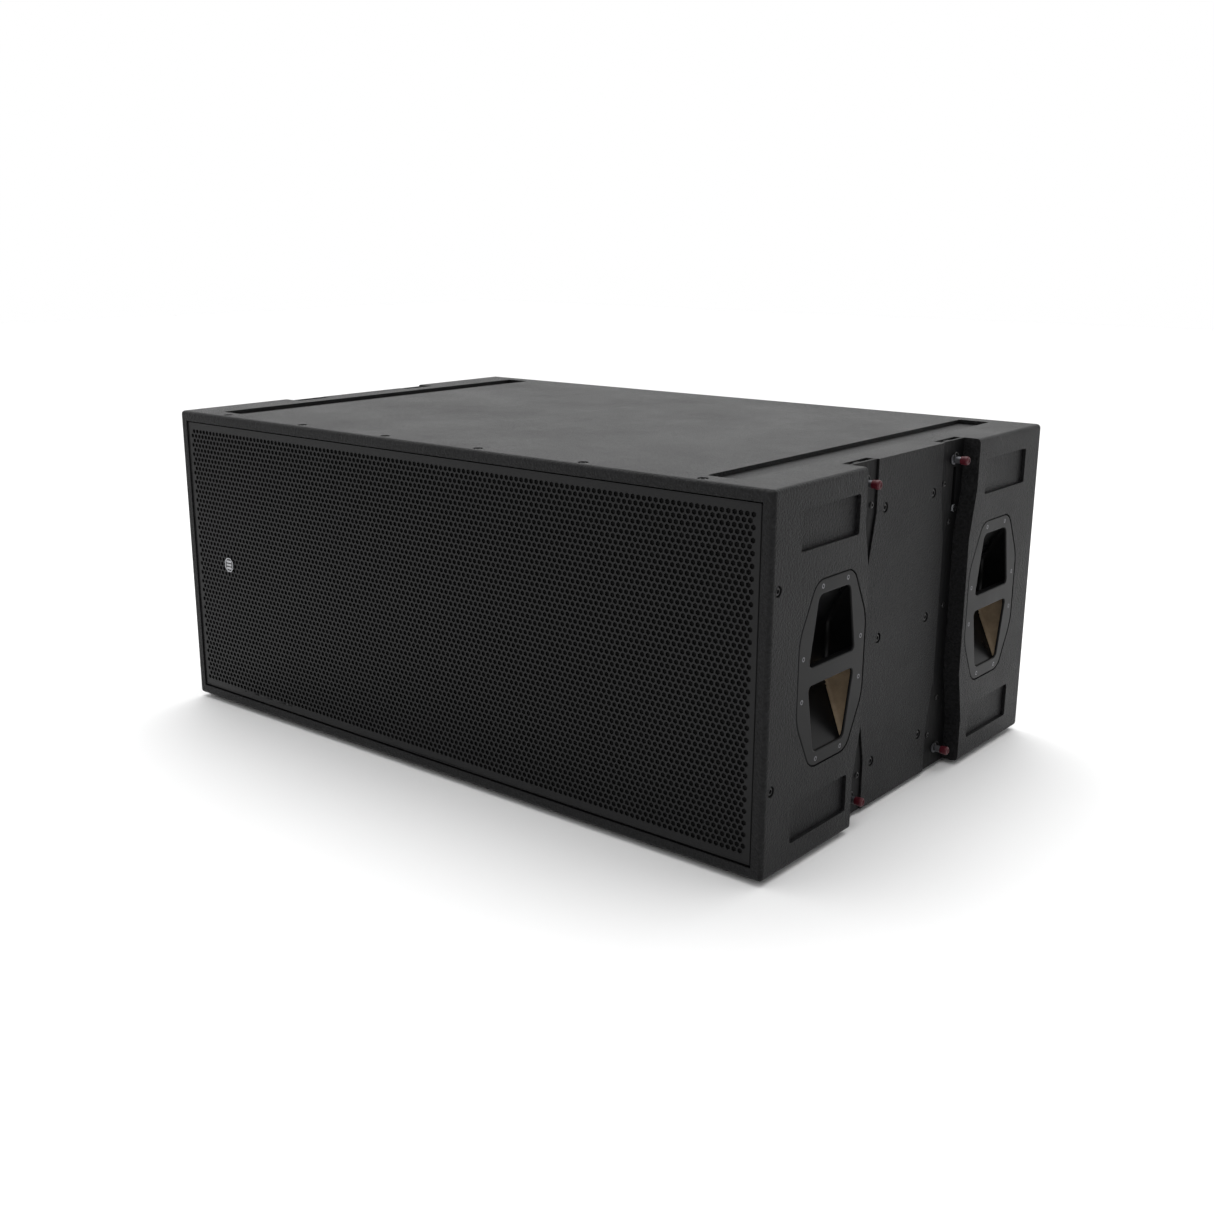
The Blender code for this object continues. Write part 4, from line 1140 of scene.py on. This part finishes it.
class SPEAKER_OT_connectors(bpy.types.Operator):
    """The sunk connector dish and its two twist-lock sockets"""
    bl_idname = "speaker.connectors"
    bl_label = "Connectors"

    def execute(self, context):
        low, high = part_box("connector_dish")
        tray = DISH_TRAY
        wall = 0.0015
        dish = add_block("rear_dish", (low.x, high.y - 0.0020, low.z), high)
        shape(dish, "EDGE", along(1), bevel(0.006, 4))
        inner = add_block("tray", (low.x + tray, low.y, low.z + tray),
                          (high.x - tray, high.y - 0.001, high.z - tray))
        shape(inner, "EDGE", along(1), bevel(0.008, 4))
        combine(dish, inner, "UNION")
        hollow = add_block("hollow", (low.x + tray + wall, low.y + wall, low.z + tray + wall),
                           (high.x - tray - wall, high.y + REACH, high.z - tray - wall))
        shape(hollow, "EDGE", along(1), bevel(0.007, 4))
        combine(dish, hollow)
        for hand, side in HANDS:
            socket_low, socket_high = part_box("socket_" + hand)
            centre = (socket_low + socket_high) / 2
            bore = copies("bore", turned("bore", [(-0.01, 0.0122), (0.01, 0.0122)], 32),
                          [(Vector((centre.x, low.y, centre.z)), (0, 1, 0))])
            combine(dish, bore)
        shape(dish, "EDGE", sharp(60, lambda place: place.y > high.y - NEAR), bevel(0.0007, 2))
        finish_piece(dish, finish("dish"), replaced=("connector_dish",))
        spots = [(Vector((x, high.y - 0.0010, z)), (0, 1, 0)) for x in (low.x + 0.010, high.x - 0.010)
                 for z in (low.z + 0.010, high.z - 0.010)]
        add_screws("dish_screws", 0.0026, spots, "zinc")
        for hand, side in HANDS:
            self.add_socket(hand)
        return {"FINISHED"}

    def add_socket(self, hand):
        """Square flange, barrel, ring-shaped slot and a keyed core."""
        low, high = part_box("socket_" + hand)
        centre = (low + high) / 2
        flange = add_block("twist_socket_" + hand, (low.x, high.y - 0.003, low.z), high)
        shape(flange, "EDGE", along(1), bevel(0.004, 4))
        spot = [(Vector((centre.x, high.y, centre.z)), (0, 1, 0))]
        barrel = copies("barrel", turned("barrel", [(low.y - high.y, 0.0118), (-0.001, 0.0118)], 40), spot)
        combine(flange, barrel, "UNION")
        ring = copies("ring", turned("ring", [(-0.0180, 0.0098), (0.01, 0.0098)], 40), spot)
        combine(flange, ring)
        core = copies("core", turned("core", [(-0.0200, 0.0058), (-0.0022, 0.0058),
                                              (-0.0014, 0.0050)], 32), spot)
        combine(flange, core, "UNION")
        for turn in range(4):
            key = add_block("key", (-0.0011, -0.020, 0.0052), (0.0011, -0.004, 0.0072))
            key.data.transform(Matrix.Translation((centre.x, high.y, centre.z))
                               @ Matrix.Rotation(turn * math.pi / 2 + math.pi / 4, 4, "Y"))
            combine(flange, key, "UNION")
        finish_piece(flange, finish("socket"), replaced=("socket_" + hand,))


class SPEAKER_OT_inside(bpy.types.Operator):
    """Finishes of the pieces that stay as the frame gives them"""
    bl_idname = "speaker.inside"
    bl_label = "Inner pieces"

    def execute(self, context):
        kinds = {"side_wall": "birch", "port_wall": "birch", "brace": "birch", "front_baffle": "birch",
                 "basket": "basket", "motor": "motor", "cone": "cone", "dust_cap": "cone",
                 "surround": "cloth", "spider": "cloth"}
        for name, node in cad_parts.items():
            for start, key in kinds.items():
                if name.startswith(start):
                    node.data.materials.clear()
                    node.data.materials.append(finish(key))
        return {"FINISHED"}


# ---------------------------------------------------------------- stage

class SPEAKER_OT_stage(bpy.types.Operator):
    """Pale floor, soft studio light and the camera"""
    bl_idname = "speaker.stage"
    bl_label = "Stage"

    def execute(self, context):
        stage = context.scene.speaker_stage
        deselect_all()
        bpy.ops.mesh.primitive_plane_add(size=stage.floor_size)
        floor = context.object
        floor.name = "studio_floor"
        made, tree, shader, place = material("painted studio floor, matt")
        haze = noise(tree, place, 900, 2.0)
        set_inputs(tree, shader, {
            "Base Color": tinted(tree, list(context.scene.speaker_colours.floor), haze, 0.01),
            "Roughness": spread(tree, haze, 0.75, 0.85)})
        floor.data.materials.append(made)
        self.add_camera(stage)
        aim = Vector((0, 0, MIDDLE_Z))
        self.add_light("top_softbox", (-0.8, 1.2, 3.2), aim, stage.top_light, (3.2, 2.6))
        self.add_light("front_softbox", (1.6, -3.4, 2.6), aim, stage.front_light, (2.4, 1.6))
        self.add_sky_light(stage)
        self.add_surround(context.scene, stage)
        context.scene.view_settings.view_transform = "Standard"
        return {"FINISHED"}

    def add_surround(self, scene, stage):
        """White as the camera sees it; as a light it is brighter behind the object than beside the camera."""
        world = bpy.data.worlds.new("studio")
        scene.world = world
        world.use_nodes = True
        tree = world.node_tree
        heading = (math.sin(stage.azimuth), -math.cos(stage.azimuth), 0)
        nearness = add_node(tree, "VectorMath", {0: add_node(tree, "TexCoord").outputs["Generated"],
                                                 1: heading}, operation="DOT_PRODUCT").outputs["Value"]
        given = spread(tree, nearness, stage.backdrop, stage.surround, -0.5, 0.5)
        seen = add_node(tree, "LightPath").outputs["Is Camera Ray"]
        strength = add_node(tree, "Mix", {0: seen, 2: given, 3: 1.0}).outputs[0]
        set_inputs(tree, tree.nodes["Background"], {"Color": (1, 1, 1, 1), "Strength": strength})

    def add_camera(self, stage):
        """The aim and the lens shift put the object where it stands in its frame."""
        aim = Vector((-0.038, 0.0, 0.194))
        away = Vector((math.sin(stage.azimuth) * math.cos(stage.elevation),
                       -math.cos(stage.azimuth) * math.cos(stage.elevation), math.sin(stage.elevation)))
        lens = bpy.data.cameras.new("studio camera")
        lens.lens = stage.focal_length
        lens.shift_x, lens.shift_y = 0.0231, 0.0019
        camera = add_object("studio_camera", lens)
        camera.location = aim + away * stage.distance
        camera.rotation_euler = (-away).to_track_quat("-Z", "Y").to_euler()
        bpy.context.scene.camera = camera

    def add_sky_light(self, stage):
        """A broad even light straight from above, which keeps the floor white to its far edge."""
        light = bpy.data.lights.new("sky_light", "SUN")
        light.energy = stage.sky_light
        light.angle = math.radians(60)
        add_object("sky_light", light)

    def add_light(self, name, place, aim, power, size):
        light = bpy.data.lights.new(name, "AREA")
        light.shape = "RECTANGLE"
        light.size, light.size_y = size
        light.energy = power
        lamp = add_object(name, light)
        lamp.location = place
        lamp.rotation_euler = (aim - Vector(place)).to_track_quat("-Z", "Y").to_euler()


# ---------------------------------------------------------------- add-on

GROUPS = (("speaker_cabinet", CabinetSizes), ("speaker_grille", GrilleSizes),
          ("speaker_handle", HandleSizes), ("speaker_stage", StageSizes),
          ("speaker_colours", FinishColours))
OPERATORS = (SPEAKER_OT_stage, SPEAKER_OT_cabinet_shell, SPEAKER_OT_grille, SPEAKER_OT_grille_foam,
             SPEAKER_OT_badge, SPEAKER_OT_handles, SPEAKER_OT_rails, SPEAKER_OT_links, SPEAKER_OT_pins,
             SPEAKER_OT_fasteners, SPEAKER_OT_skids, SPEAKER_OT_connectors, SPEAKER_OT_inside)


class SPEAKER_PT_panel(bpy.types.Panel):
    """Lists the sizes and the operators in the order in which they are run"""
    bl_label = "Flown subwoofer"
    bl_idname = "SPEAKER_PT_panel"
    bl_space_type = "VIEW_3D"
    bl_region_type = "UI"
    bl_category = "Subwoofer"

    def draw(self, context):
        for operator in OPERATORS:
            self.layout.operator(operator.bl_idname)
        for name, group in GROUPS:
            column = self.layout.box().column()
            for key in group.__annotations__:
                column.prop(getattr(context.scene, name), key)


def register():
    for name, group in GROUPS:
        bpy.utils.register_class(group)
        setattr(bpy.types.Scene, name, PointerProperty(type=group))
    for made in (*OPERATORS, SPEAKER_PT_panel):
        bpy.utils.register_class(made)


def unregister():
    for made in reversed((*OPERATORS, SPEAKER_PT_panel)):
        bpy.utils.unregister_class(made)
    for name, group in reversed(GROUPS):
        delattr(bpy.types.Scene, name)
        bpy.utils.unregister_class(group)


def main():
    register()
    for operator in OPERATORS:
        family, name = operator.bl_idname.split(".")
        getattr(getattr(bpy.ops, family), name)()


if __name__ == "__main__":
    main()
